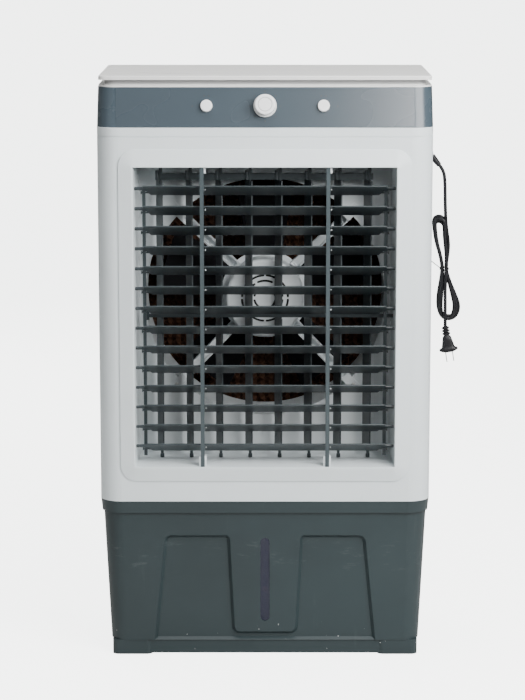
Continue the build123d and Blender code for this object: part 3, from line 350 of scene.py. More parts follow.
@dataclass(frozen=True)
class TankPlastic:
    """Grey tank moulding with dried drips, scuffs in its recesses and a few pale specks low down."""

    name: str = "tank_grey"
    slot: str = "grey_shell"
    colour: Colour = (0.019, 0.031, 0.034)
    roughness: float = 0.42
    scuff_levels: tuple[float, float] = (0.165, 0.215)
    speck_top: float = 0.065
    dried: Colour = (0.42, 0.44, 0.44)
    speck: Colour = (0.80, 0.80, 0.78)

    def build(self) -> bpy.types.Material:
        """Build the material: marks that run down, scuffs at hand height and specks near the floor."""
        shade = Shader(self.name)
        _, _, height = shade.axes()
        clouds = shade.noise(4.0, detail=4.0)
        runs = shade.noise(38.0, detail=3.0, stretch=(1.0, 1.0, 0.09)).step(0.62, 0.76)
        patches = shade.noise(7.0, detail=5.0, roughness=0.65).step(0.52, 0.66)
        drips = runs * patches
        low, high = self.scuff_levels
        band = height.step(low - 0.02, low + 0.01) * (1 - height.step(high - 0.01, high + 0.01))
        streaks = shade.noise(24.0, detail=7.0, roughness=0.75, stretch=(0.8, 1.0, 3.2))
        scuffs = streaks.step(0.55, 0.68) * band
        dots = shade.noise(260.0, detail=0.0).step(0.875, 0.895)
        specks = dots * (1 - height.step(self.speck_top - 0.01, self.speck_top))
        darker = scaled(self.colour, 0.92)
        lighter = scaled(self.colour, 1.10)
        base = shade.mix(clouds.step(0.35, 0.65), darker, lighter)
        marked = shade.mix(drips * 0.05 + scuffs * 0.06, base, self.dried)
        shade.set(Base_Color=shade.mix(specks * 0.7, marked, self.speck), Specular_IOR_Level=0.45)
        rough = (clouds - 0.5) * 0.12 + drips * 0.16 + scuffs * 0.2 + self.roughness
        shade.set(Roughness=rough.clamp(0.1, 0.9))
        shade.bump(shade.noise(900.0, detail=2.0), 0.00007)
        return shade.material


@dataclass(frozen=True)
class LidPlastic:
    """White lid with grey smudges on its top, a shade yellower than the casing, and painted shade on the neck
    under its edge.
    """

    name: str = "lid_white"
    slot: str = "white_shell"
    colour: Colour = (0.72, 0.72, 0.705)
    # colour of the painted shade on the neck under the lid
    neck_shade: Colour = (0.22, 0.22, 0.22)
    smudge: Colour = (0.36, 0.35, 0.34)
    neck_span: tuple[float, float] = (1.0422, 1.0512)

    def build(self) -> bpy.types.Material:
        """Build the material: smudges by noise, and painted shade only on the neck below the lid."""
        shade = Shader(self.name)
        along, _, height = shade.axes()
        clouds = shade.noise(5.0, detail=4.0)
        wiped = shade.noise(9.0, detail=6.0, roughness=0.7, stretch=(0.7, 2.0, 1.0)).step(0.52, 0.70)
        fine = shade.noise(60.0, detail=4.0, stretch=(0.5, 2.0, 1.0)).step(0.45, 0.65)
        more_left = 1 - along.step(-0.25, 0.30) * 0.6
        base = shade.mix(clouds.step(0.35, 0.65), scaled(self.colour, 0.98), self.colour)
        smudged = shade.mix(wiped * fine * more_left * 0.45, base, self.smudge)
        # painted shade: the neck below the lid's overhang is darkened in its colour, where the lid's shadow
        # falls
        foot, roof = self.neck_span
        under = height.step(foot, foot + 0.003) * (1 - height.step(roof, roof + 0.001))
        shade.set(Base_Color=shade.mix(under * 0.85, smudged, self.neck_shade), Specular_IOR_Level=0.5)
        shade.set(Roughness=(wiped * 0.15 + 0.38).clamp())
        shade.bump(shade.noise(1500.0, detail=2.0), 0.00003)
        return shade.material


@dataclass(frozen=True)
class KnobPlastic:
    """Glossy white knob with painted shade in its turned groove and round its skirt."""

    name: str = "knob_dial"
    slot: str = "knob_white"
    colour: Colour = (0.84, 0.85, 0.85)
    shadow: Colour = (0.20, 0.21, 0.22)
    tilt: float = PANEL_LEAN
    groove: float = 0.0122
    cap_edge: float = 0.0172

    def build(self) -> bpy.types.Material:
        """Build the material: the painted shade follows the distance from the knob's own axis."""
        shade = Shader(self.name)
        centre = PanelPrint().placement() @ Vector((0.0, 0.0, 0.0))
        turn = math.radians(self.tilt)
        moved = shade.node(
            "ShaderNodeVectorMath", {"operation": "SUBTRACT"}, {0: shade.place, 1: tuple(centre)}
        )
        upright = shade.node(
            "ShaderNodeMapping", inputs={"Vector": moved.outputs[0], "Rotation": (turn, 0.0, 0.0)}
        )
        parts = shade.node("ShaderNodeSeparateXYZ", inputs={0: upright.outputs[0]})
        across, up = shade.signal(parts, 0), shade.signal(parts, 2)
        reach = (across * across + up * up) ** 0.5
        # painted shade: the colour goes grey in the turned groove and round the cap's skirt edge, where shade
        # falls
        ring = (1 - abs(reach - self.groove).step(0.0004, 0.0010)) * 0.55
        edge = reach.step(self.cap_edge, self.cap_edge + 0.001) * 0.35
        wear = shade.noise(300.0, detail=2.0)
        base = shade.mix(wear.step(0.4, 0.7) * 0.1, self.colour, scaled(self.colour, 0.9))
        shade.set(Base_Color=shade.mix((ring + edge).clamp(), base, self.shadow), Specular_IOR_Level=0.5)
        shade.set(Coat_Weight=0.3, Coat_Roughness=0.12, Roughness=(wear * 0.1 + 0.22).clamp())
        return shade.material


@dataclass(frozen=True)
class PanelFilm:
    """Glossy printed film over the control band, grey with a faint blue cast."""

    name: str = "panel_film"
    slot: str = "panel_grey"
    colour: Colour = (0.038, 0.054, 0.067)
    roughness: float = 0.27

    def build(self) -> bpy.types.Material:
        """Build the film: fine print grain under a smooth clear skin."""
        shade = Shader(self.name)
        grain = shade.noise(2400.0, detail=1.0)
        clouds = shade.noise(6.0, detail=2.0)
        base = shade.mix(grain.step(0.3, 0.7) * 0.35, self.colour, scaled(self.colour, 1.16))
        shade.set(Base_Color=base, Specular_IOR_Level=0.6, Coat_Weight=0.35, Coat_Roughness=0.2)
        shade.set(Roughness=((clouds - 0.5) * 0.08 + self.roughness).clamp(0.05, 0.9))
        shade.bump(shade.noise(45.0, detail=2.0), 0.00006)
        return shade.material


@dataclass(frozen=True)
class TurnedSteel:
    """Bright machined steel with fine turning marks."""

    name: str = "turned_steel"
    slot: str = "shaft_steel"
    colour: Colour = (0.56, 0.56, 0.55)

    def build(self) -> bpy.types.Material:
        """Build the metal."""
        shade = Shader(self.name)
        marks = shade.noise(600.0, detail=2.0, stretch=(0.2, 4.0, 0.2))
        shade.set(Base_Color=shade.mix(marks, scaled(self.colour, 0.85), self.colour))
        shade.set(Metallic=1.0, Roughness=(marks * 0.2 + 0.24).clamp())
        shade.bump(marks, 0.00002)
        return shade.material


@dataclass(frozen=True)
class PadPaper:
    """Brown resin-dipped cellulose with pale and dark fibres and damp patches."""

    name: str = "pad_paper"
    slot: str = "pad_brown"
    colour: Colour = (0.085, 0.034, 0.014)

    def build(self) -> bpy.types.Material:
        """Build the paper."""
        shade = Shader(self.name)
        fibres = shade.noise(420.0, detail=5.0, roughness=0.7)
        damp = shade.noise(9.0, detail=3.0).step(0.4, 0.62)
        dry = shade.mix(fibres.step(0.3, 0.7), scaled(self.colour, 0.7), scaled(self.colour, 1.35))
        shade.set(Base_Color=shade.mix(damp * 0.5, dry, scaled(self.colour, 0.45)))
        shade.set(Roughness=(0.92 - damp * 0.25).clamp())
        shade.bump(fibres, 0.0002)
        return shade.material


@dataclass(frozen=True)
class TintedLens:
    """Clear moulded lens with a violet tint and hazy rear face."""

    name: str = "level_lens"
    slot: str = "lens_clear"
    colour: Colour = (0.020, 0.022, 0.044)

    def build(self) -> bpy.types.Material:
        """Build the lens: glossy skin, part clear."""
        shade = Shader(self.name)
        haze = shade.noise(30.0, detail=3.0)
        shade.set(Base_Color=shade.mix(haze, self.colour, scaled(self.colour, 0.7)))
        shade.set(Alpha=(haze * 0.14 + 0.70).clamp(), Roughness=(haze * 0.1 + 0.05).clamp())
        shade.set(Specular_IOR_Level=0.4, Coat_Weight=0.15, Coat_Roughness=0.04)
        shade.bump(shade.noise(120.0, detail=1.0), 0.00003)
        return shade.material


@dataclass(frozen=True)
class CordVinyl:
    """Black vinyl of the lead and its plug, smooth with faint extrusion waves."""

    name: str = "cord_vinyl"
    slot: str = "rubber_black"
    colour: Colour = (0.004, 0.004, 0.005)
    roughness: float = 0.42

    def build(self) -> bpy.types.Material:
        """Build the vinyl."""
        shade = Shader(self.name)
        waves = shade.noise(90.0, detail=3.0)
        smears = shade.noise(700.0, detail=2.0)
        shade.set(Base_Color=shade.mix(waves, self.colour, scaled(self.colour, 1.8)))
        shade.set(Roughness=(waves * 0.16 + (self.roughness - 0.08)).clamp(), Specular_IOR_Level=0.25)
        shade.bump(smears * 0.5 + waves * 0.5, 0.00006)
        return shade.material


@dataclass(frozen=True)
class PrintInk:
    """Flat printing ink on the panel."""

    name: str = "panel_ink"
    slot: str = "panel_grey"
    colour: Colour = (0.010, 0.012, 0.014)

    def build(self) -> bpy.types.Material:
        """Build the ink, slightly broken at its edges."""
        shade = Shader(self.name)
        wear = shade.noise(1500.0, detail=2.0)
        shade.set(Base_Color=shade.mix(wear * 0.4, self.colour, scaled(self.colour, 3)))
        shade.set(Roughness=(wear * 0.2 + 0.3).clamp())
        return shade.material


WHITE_SHELL = MouldedPlastic(
    "shell_white", "white_shell", (0.69, 0.745, 0.76), Surface.SATIN, 0.36, 0.02, 0.05, (0.5, 0.5, 0.47)
)
BAND_GREY = MouldedPlastic(
    "band_grey", "panel_grey", (0.046, 0.065, 0.080), Surface.POLISHED, 0.28, 0.04, 0.04
)
BLADE_GREY = MouldedPlastic(
    "blade_grey", "blade_grey", (0.026, 0.036, 0.040), Surface.SATIN, 0.38, 0.06, 0.08, (0.20, 0.22, 0.22)
)
STAY_GREY = MouldedPlastic("stay_grey", "stay_grey", (0.045, 0.060, 0.066), Surface.SATIN, 0.34, 0.05, 0.06)
INNER_WHITE = MouldedPlastic(
    "inner_white", "inner_white", (0.66, 0.70, 0.71), Surface.SATIN, 0.45, 0.04, 0.12, (0.3, 0.3, 0.28)
)
KNOB_WHITE = MouldedPlastic(
    "knob_white", "knob_white", (0.82, 0.83, 0.83), Surface.POLISHED, 0.26, 0.02, 0.03, (0.5, 0.5, 0.48), 0.3
)
FAN_BLACK = MouldedPlastic(
    "fan_black", "fan_black", (0.005, 0.005, 0.006), Surface.SATIN, 0.60, 0.10, 0.06,
    (0.03, 0.03, 0.03), shine=0.05,
)
MOTOR_BLACK = MouldedPlastic(
    "motor_enamel", "motor_black", (0.012, 0.013, 0.014), Surface.GRAINED, 0.5, 0.08, 0.10, (0.12, 0.12, 0.12)
)
HOSE_GREY = MouldedPlastic("hose_grey", "hose_grey", (0.10, 0.11, 0.115), Surface.SATIN, 0.5, 0.06, 0.06)
FLOAT_RED = MouldedPlastic(
    "float_red", "float_red", (0.80, 0.30, 0.16), Surface.POLISHED, 0.2, 0.03, 0.02, sheen=0.4
)

FINISHES = (
    WHITE_SHELL, BAND_GREY, BLADE_GREY, STAY_GREY, INNER_WHITE, KNOB_WHITE, FAN_BLACK,
    MOTOR_BLACK, HOSE_GREY, FLOAT_RED, TankPlastic(), LidPlastic(), KnobPlastic(),
    PanelFilm(), TurnedSteel(), PadPaper(), TintedLens(), CordVinyl(), PrintInk(),
)


class Palette:
    """Builds each finish once and paints CAD nodes and pieces with it."""

    def __init__(self, finishes: Iterable[object]) -> None:
        """Build every finish.

        Args:
            finishes: The finish descriptions.
        """
        self.slots = {finish.name: finish.slot for finish in finishes}
        self.materials = {finish.name: finish.build() for finish in finishes}

    def paint(self, thing: bpy.types.Object, name: str) -> bpy.types.Object:
        """Give an object one finish all over."""
        material = self.materials[name]
        if not thing.data.materials:
            thing.data.materials.append(material)
        for index in range(len(thing.data.materials)):
            thing.data.materials[index] = material
        return thing


# ---------------------------------------------------------------- making pieces
def piece(name: str, mesh: bpy.types.Mesh, body: str, finish: str, palette: Palette) -> bpy.types.Object:
    """Turn a mesh that is already in place into a finished piece on a body.

    Args:
        name: The piece's name.
        mesh: Its mesh, in the model's frame.
        body: The body it moves with.
        finish: The finish it is painted with.
        palette: The built finishes.

    Returns:
        The new object.
    """
    thing = bpy.data.objects.new(name, mesh)
    bpy.context.scene.collection.objects.link(thing)
    palette.paint(thing, finish)
    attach(thing, body)
    LOG.info("%s: %d faces on %s", name, len(mesh.polygons), body)
    return thing


def mesh_from(name: str, build: Callable[[bmesh.types.BMesh], None], smooth: float = 35.0) -> bpy.types.Mesh:
    """Run a bmesh recipe and return its mesh, welded, facing outwards and smooth up to an angle.

    Args:
        name: The mesh's name.
        build: The recipe, which fills the bmesh.
        smooth: Edges flatter than this many degrees are shaded smooth.

    Returns:
        The mesh.
    """
    work = bmesh.new()
    build(work)
    bmesh.ops.remove_doubles(work, verts=work.verts, dist=1e-6)
    bmesh.ops.recalc_face_normals(work, faces=work.faces)
    for face in work.faces:
        face.smooth = True
    for edge in work.edges:
        if len(edge.link_faces) == 2 and edge.calc_face_angle(0.0) > math.radians(smooth):
            edge.smooth = False
    mesh = bpy.data.meshes.new(name)
    work.to_mesh(mesh)
    work.free()
    return mesh


class NodeMesh(Graph):
    """A Geometry Nodes tree whose result is turned into a plain mesh."""

    def __init__(self, name: str) -> None:
        """Make an empty tree with one geometry output.

        Args:
            name: The tree's name.
        """
        tree = bpy.data.node_groups.new(name, "GeometryNodeTree")
        tree.interface.new_socket("Geometry", in_out="INPUT", socket_type="NodeSocketGeometry")
        tree.interface.new_socket("Geometry", in_out="OUTPUT", socket_type="NodeSocketGeometry")
        super().__init__(tree)
        self.sizes: dict[str, float | int] = {}
        self.source = self.node("NodeGroupInput")
        self.sink = self.node("NodeGroupOutput")

    def size(self, name: str, value: float | int) -> Signal:
        """Add a named input with its value.

        Args:
            name: The input's name.
            value: A length in metres or a count.

        Returns:
            The input as a signal.
        """
        kind = "NodeSocketInt" if isinstance(value, int) else "NodeSocketFloat"
        socket = self.tree.interface.new_socket(name, in_out="INPUT", socket_type=kind)
        self.sizes[socket.identifier] = value
        return Signal(self, self.source.outputs[name])

    def set_out(self, instance: bpy.types.NodeSocket) -> bpy.types.NodeSocket:
        """Put an instance on each seed point, with its local Z along the point's facing.

        Args:
            instance: The geometry that is repeated.

        Returns:
            The instances.
        """
        kind = {"data_type": "FLOAT_VECTOR"}
        facing = self.node("GeometryNodeInputNamedAttribute", kind, {"Name": "facing"})
        turned = self.node("FunctionNodeAlignRotationToVector", {"axis": "Z"}, {"Vector": facing.outputs[0]})
        points = {"Points": self.source.outputs[0], "Instance": instance, "Rotation": turned.outputs[0]}
        return self.node("GeometryNodeInstanceOnPoints", inputs=points).outputs[0]

    def bake(
        self, geometry: bpy.types.NodeSocket, start: bpy.types.Mesh, material: bpy.types.Material
    ) -> bpy.types.Mesh:
        """Close the tree with Realize Instances and Set Material, run it on a mesh and return the result.

        Args:
            geometry: The socket that holds the finished geometry.
            start: The mesh that the tree starts from.
            material: The material it ends in.

        Returns:
            The plain mesh.
        """
        whole = self.node("GeometryNodeRealizeInstances", inputs={0: geometry})
        dressed = self.node(
            "GeometryNodeSetMaterial", inputs={"Geometry": whole.outputs[0], "Material": material}
        )
        self.fill(self.sink.inputs[0], dressed.outputs[0])
        carrier = bpy.data.objects.new(self.tree.name, start)
        bpy.context.scene.collection.objects.link(carrier)
        modifier = carrier.modifiers.new("nodes", "NODES")
        modifier.node_group = self.tree
        for identifier, value in self.sizes.items():
            modifier[identifier] = value
        bpy.context.view_layer.update()
        depsgraph = bpy.context.evaluated_depsgraph_get()
        mesh = bpy.data.meshes.new_from_object(carrier.evaluated_get(depsgraph), depsgraph=depsgraph)
        carrier.modifiers.remove(modifier)
        bpy.data.objects.remove(carrier)
        return mesh


def seed_points(name: str, places: Sequence[Vector], facing: Sequence[Vector] | Vector) -> bpy.types.Mesh:
    """A mesh of loose points with the direction each one faces.

    Args:
        name: The mesh's name.
        places: The points.
        facing: One direction for all, or one for each.

    Returns:
        The mesh, with a vector attribute named facing.
    """
    mesh = bpy.data.meshes.new(name)
    mesh.from_pydata([tuple(p) for p in places], [], [])
    directions = [facing] * len(places) if isinstance(facing, Vector) else facing
    attribute = mesh.attributes.new("facing", "FLOAT_VECTOR", "POINT")
    for index, direction in enumerate(directions):
        attribute.data[index].vector = direction
    return mesh


# ---------------------------------------------------------------- mains lead
def round_wire(
    name: str, points: Sequence[Vector], radius: float, fineness: int, steps: int
) -> bpy.types.Object:
    """Lay a round wire along a smooth path.

    Args:
        name: The object's name.
        points: The path's control points, in metres.
        radius: The wire's radius.
        fineness: Steps round each quarter of its section.
        steps: Steps along it from one point to the next.

    Returns:
        The new curve object.
    """
    data = bpy.data.curves.new(name, "CURVE")
    data.dimensions = "3D"
    spline = data.splines.new("NURBS")
    spline.points.add(len(points) - 1)
    for point, place in zip(spline.points, points):
        point.co = (*place, 1.0)
    spline.order_u = 3
    spline.use_endpoint_u = True
    data.bevel_depth = radius
    data.bevel_resolution = fineness
    data.resolution_u = steps
    data.use_fill_caps = True
    thing = bpy.data.objects.new(name, data)
    bpy.context.scene.collection.objects.link(thing)
    return thing


@dataclass
class MainsLead:
    """The hanging mains lead: its free run, its tied hank, the twist tie and the plug.

    Lengths are in millimetres as the route is written, and metres in the meshes.
    """

    diameter: float = 6.3
    length: float = 1.50
    exit: Point = (317.5, -50.0, 890.91)
    run: tuple[Point, ...] = (
        (317.5, -50.0, 890.91),
        (325.86, -50.0, 880.95),
        (328.5, -49.5, 858.0),
        (329.0, -50.5, 826.0),
        (330.5, -50.0, 790.0),
        (334.0, -44.5, 765.0),
        (337.5, -38.5, 744.0),
        (336.0, -36.5, 722.0),
    )
    tail: tuple[Point, ...] = (
        (331.5, -57.2, 684.0),
        (330.5, -57.6, 662.0),
        (331.0, -57.4, 640.0),
        (331.2, -57.4, 618.0),
        (331.5, -57.0, 603.0),
        (331.6, -57.0, 594.0),
    )
    turns: int = 3
    shrinks: tuple[float, ...] = (0.0, 5.0, 9.5)
    rises: tuple[float, ...] = (0.0, 7.0, 3.0)
    folds: tuple[Point, ...] = ((318.6, 785.6, 9.8), (318.0, 777.6, 8.8), (319.6, 783.4, 8.8))
    layer: float = 6.7
    low_layer: float = 6.4
    back_layer: float = -36.8
    plug_tilt: float = 9.0
    relief_length: float = 18.0
    body_length: float = 30.0
    prong_length: float = 18.0
    prong_spacing: float = 12.7
    prong_half_width: float = 3.15
    prong_half_thickness: float = 0.75
    hole_radius: float = 1.5
    tie_radius: float = 0.75
    tie_centre: Point = (329.2, -47.0, 698.5)
    tie_reach: tuple[float, float] = (8.2, 15.4)

    def turn_points(self, turn: int) -> list[Point]:
        """The control points of one turn of the hank, from its right waist round to the right waist again.

        Args:
            turn: 0 for the turn nearest the casing's rear.

        Returns:
            Points in millimetres.
        """
        right = self.back_layer - self.layer * turn
        left = right - self.layer / 2
        low = self.back_layer - self.low_layer * turn
        shrink = self.shrinks[turn]
        rise = self.rises[turn]
        after = right - self.layer
        fold_x, fold_z, fold = self.folds[turn]
        corners = ((-1.08, 0.41, left), (-0.45, 1.08, left), (0.45, 1.08, after), (1.08, 0.41, after))
        crown = [(fold_x + fold * along, y, fold_z + fold * up) for along, up, y in corners]
        return [
            (332.2, right, 700.0),
            (339.5 - shrink * 0.2, right, 676.0),
            (350.0 - shrink * 0.6, low, 652.0),
            (358.6 - shrink, low, 630.0),
            (354.0 - shrink, low, 611.0 + rise * 0.5),
            (341.0 - shrink * 0.2, low, 603.5 + rise),
            (326.0 + shrink * 0.1, low, 608.0 + rise),
            (318.8 + shrink * 0.5, low, 627.0),
            (318.6 + shrink * 0.6, left, 650.0),
            (323.4 + shrink * 0.2, left, 678.0),
            (326.2, left, 700.0),
            (322.0, left, 724.0),
            (313.0 + shrink * 0.1, left, 752.0),
            *crown,
            (328.4, after, 764.0),
            (330.6, after, 744.0),
            (333.2, after, 720.0),
        ]

    def route(self) -> list[Vector]:
        """All control points of the lead, in metres."""
        points = list(self.run)
        for turn in range(self.turns):
            points.extend(self.turn_points(turn))
        points.extend(self.tail)
        return [Vector(p) * MM for p in points]

    def plug_axis(self) -> Matrix:
        """Placement of the plug: local Z runs down along it, local Y across its prongs."""
        lean = math.radians(self.plug_tilt)
        down = Vector((math.sin(lean), 0.0, -math.cos(lean)))
        across = Vector((math.cos(lean), 0.0, math.sin(lean)))
        turn = Matrix((across, down.cross(across), down)).transposed().to_4x4()
        return Matrix.Translation(Vector(self.tail[-1]) * MM) @ turn

    def plug_mesh(self) -> bpy.types.Mesh:
        """The moulded plug: ribbed relief, flared body and rounded shoulder."""
        place = self.plug_axis()

        def section(
            work: bmesh.types.BMesh, half_x: float, half_y: float, height: float, steps: int = 32
        ) -> list[bmesh.types.BMVert]:
            """One rounded section of the plug."""
            ring = []
            for step in range(steps):
                turn = 2 * math.pi * step / steps
                c, s = math.cos(turn), math.sin(turn)
                x = half_x * math.copysign(abs(c) ** 0.62, c)
                y = half_y * math.copysign(abs(s) ** 0.62, s)
                ring.append(work.verts.new(place @ Vector((x * MM, y * MM, height * MM))))
            return ring

        def build(work: bmesh.types.BMesh) -> None:
            """Stack the sections and skin them."""
            outline = [(4.0, 4.0, 0.0), (4.6, 4.6, 0.8)]
            ribs = 3
            pitch = (self.relief_length - 2) / ribs
            for rib in range(ribs):
                start = 1.2 + rib * pitch
                grow = rib * 0.25
                outline += [
                    (6.6 + grow, 6.2 + grow, start + 0.5),
                    (6.9 + grow, 6.4 + grow, start + pitch * 0.35),
                    (6.5 + grow, 6.1 + grow, start + pitch * 0.55),
                    (4.4 + grow, 4.4 + grow, start + pitch * 0.66),
                    (4.4 + grow, 4.4 + grow, start + pitch * 0.92),
                ]
            top = self.relief_length
            bottom = top + self.body_length
            outline += [
                (6.2, 5.6, top),
                (7.8, 6.4, top + 2.0),
                (9.4, 6.9, top + 9.0),
                (11.2, 7.4, top + 17.0),
                (12.2, 7.6, bottom - 8.5),
                (16.0, 8.2, bottom - 7.0),
                (17.3, 8.4, bottom - 5.0),
                (16.6, 8.2, bottom - 3.2),
                (11.0, 7.2, bottom - 0.8),
                (8.0, 6.0, bottom),
            ]
            rings = [section(work, *row) for row in outline]
            count = len(rings[0])
            for lower, upper in zip(rings, rings[1:]):
                for step in range(count):
                    after = (step + 1) % count
                    work.faces.new((lower[step], lower[after], upper[after], upper[step]))
            work.faces.new(list(reversed(rings[0])))
            work.faces.new(rings[-1])

        return mesh_from("plug_body", build, smooth=50.0)

    def prong_mesh(self) -> bpy.types.Mesh:
        """Two flat blades with chamfered ends and a hole each."""
        place = self.plug_axis()
        start = self.relief_length + self.body_length - 1.0
        end = start + 1.0 + self.prong_length

        def build(work: bmesh.types.BMesh) -> None:
            """Build each blade as a plate round its hole."""
            half = self.prong_half_width
            for side in Side:
                x = side.value * self.prong_spacing / 2
                outline = [(-half, start), (half, start), (half, end - 2)]
                outline += [(1.9, end), (-1.9, end), (-half, end - 2)]
                corners = [2 * math.pi * k / 12 for k in range(12)]
                bored = self.hole_radius
                hole = [(bored * math.cos(a), end - 4.5 + bored * math.sin(a)) for a in corners]
                faces = []
                for y in (-self.prong_half_thickness, self.prong_half_thickness):
                    rim = [work.verts.new(place @ (Vector((x + y, u, h)) * MM)) for u, h in outline]
                    bore = [work.verts.new(place @ (Vector((x + y, u, h)) * MM)) for u, h in hole]
                    loops = [zip(ring, ring[1:] + ring[:1]) for ring in (rim, bore)]
                    edges = [work.edges.new(ends) for loop in loops for ends in loop]
                    bmesh.ops.triangle_fill(work, edges=edges, use_beauty=True)
                    faces.append((rim, bore))
                for near, far in zip(faces[0], faces[1]):
                    for a, b, c, d in zip(near, near[1:] + near[:1], far[1:] + far[:1], far):
                        work.faces.new((a, b, c, d))

        return mesh_from("plug_prongs", build, smooth=30.0)

    def tie_mesh(self) -> bpy.types.Mesh:
        """A flat twist tie: two wraps round the waist and two twisted ends pointing left."""
        wraps, per_wrap = 2, 12
        x, y, z = self.tie_centre
        wide, thick = self.tie_reach
        points = []
        for step in range(wraps * per_wrap + 1):
            turn = math.pi + 2 * math.pi * step / per_wrap
            across, deep = wide * math.cos(turn), thick * math.sin(turn)
            points.append((x + across, y + deep, z + 3.0 * step / per_wrap / wraps))
        for step in range(8):
            reach = step / 7
            twist = 1.5 * math.sin(4 * math.pi * reach)
            points.append((320.6 - 15.0 * reach, -47.5 - twist, 702.0 + 11.5 * reach))
        path = [Vector(place) * MM for place in points]
        carrier = round_wire("twist_tie_curve", path, self.tie_radius * MM, fineness=3, steps=12)
        bpy.context.view_layer.update()
        mesh = bpy.data.meshes.new_from_object(carrier)
        bpy.data.objects.remove(carrier)
        return mesh

    def build(self, palette: Palette) -> None:
        cord = round_wire("mains_cord", self.route(), self.diameter / 2 * MM, fineness=6, steps=10)
        palette.paint(cord, "cord_vinyl")
        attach(cord, "cabinet")
        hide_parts("power_cord", "cord_hank")
        plug = piece("plug_moulding", self.plug_mesh(), "cabinet", "cord_vinyl", palette)
        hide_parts("plug")
        prongs = piece("plug_blades", self.prong_mesh(), "cabinet", "turned_steel", palette)
        tie = piece("twist_tie", self.tie_mesh(), "cabinet", "cord_vinyl", palette)
        tuple(v * MM for v in self.exit)


# ---------------------------------------------------------------- cooling pad
@dataclass
class PadCore:
    """The fluted cooling pad: upright wavy sheets whose flutes slant up and down in turn."""

    flute_pitch: float = 0.0135
    sheet_pitch: float = 0.008
    slant: float = 35.0
    steps_per_flute: int = 6
    paper: float = 0.0008
    edge_gap: float = 0.001
    wave_share: float = 0.54

    def build(self, palette: Palette) -> None:
        """Make the pad inside the space its block holds."""
        low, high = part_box("cooling_pad")
        middle = (low + high) / 2
        width = high.x - low.x - 2 * self.edge_gap
        height = high.z - low.z - 2 * self.edge_gap
        depth = high.y - low.y - 2 * self.edge_gap
        rise = depth * math.tan(math.radians(self.slant))
        count = int(width / self.sheet_pitch)
        tree = NodeMesh("pad_flutes")
        pad_width = tree.size("Pad Width", width)
        sheet_height = tree.size("Sheet Height", height - rise)
        pad_depth = tree.size("Pad Depth", depth)
        flute = tree.size("Flute Pitch", self.flute_pitch)
        lean = tree.size("Rise Over Depth", rise / depth)
        sheets = tree.size("Sheets", count)
        steps = tree.size("Steps", int((height - rise) / self.flute_pitch) * self.steps_per_flute)
        sheet = tree.node(
            "GeometryNodeMeshGrid",
            inputs={"Size X": sheet_height, "Size Y": pad_depth, "Vertices X": steps, "Vertices Y": 2},
        )
        position = tree.node("GeometryNodeInputPosition")
        parts = tree.node("ShaderNodeSeparateXYZ", inputs={0: position.outputs[0]})
        along, across = tree.signal(parts, 0), tree.signal(parts, 1)
        wave = (along * (2 * math.pi) / flute).sine() * (pad_width / sheets * self.wave_share)
        stood = tree.node("ShaderNodeCombineXYZ", inputs={0: wave, 1: across, 2: along + across * lean})
        wavy = tree.node(
            "GeometryNodeSetPosition", inputs={"Geometry": sheet.outputs[0], "Position": stood.outputs[0]}
        )
        pitch = tree.node("ShaderNodeCombineXYZ", inputs={0: pad_width / sheets})
        row = tree.node(
            "GeometryNodeMeshLine", {"mode": "OFFSET"}, {"Count": sheets, "Offset": pitch.outputs[0]}
        )
        index = tree.signal(tree.node("GeometryNodeInputIndex"))
        turned = tree.node("ShaderNodeCombineXYZ", inputs={2: (index - (index / 2).floor() * 2) * math.pi})
        rotation = tree.node("FunctionNodeEulerToRotation", inputs={0: turned.outputs[0]})
        stacked = tree.node(
            "GeometryNodeInstanceOnPoints",
            inputs={"Points": row.outputs[0], "Instance": wavy.outputs[0], "Rotation": rotation.outputs[0]},
        )
        first = low.x + self.edge_gap + width / count / 2
        moved = tree.node(
            "GeometryNodeTransform",
            inputs={"Geometry": stacked.outputs[0], "Translation": (first, middle.y, middle.z)},
        )
        mesh = tree.bake(moved.outputs[0], bpy.data.meshes.new("pad_seed"), palette.materials["pad_paper"])
        pad = piece("fluted_pad", mesh, "cabinet", "pad_paper", palette)
        thick = pad.modifiers.new("paper", "SOLIDIFY")
        thick.thickness = self.paper
        thick.offset = 0.0
        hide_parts("cooling_pad")


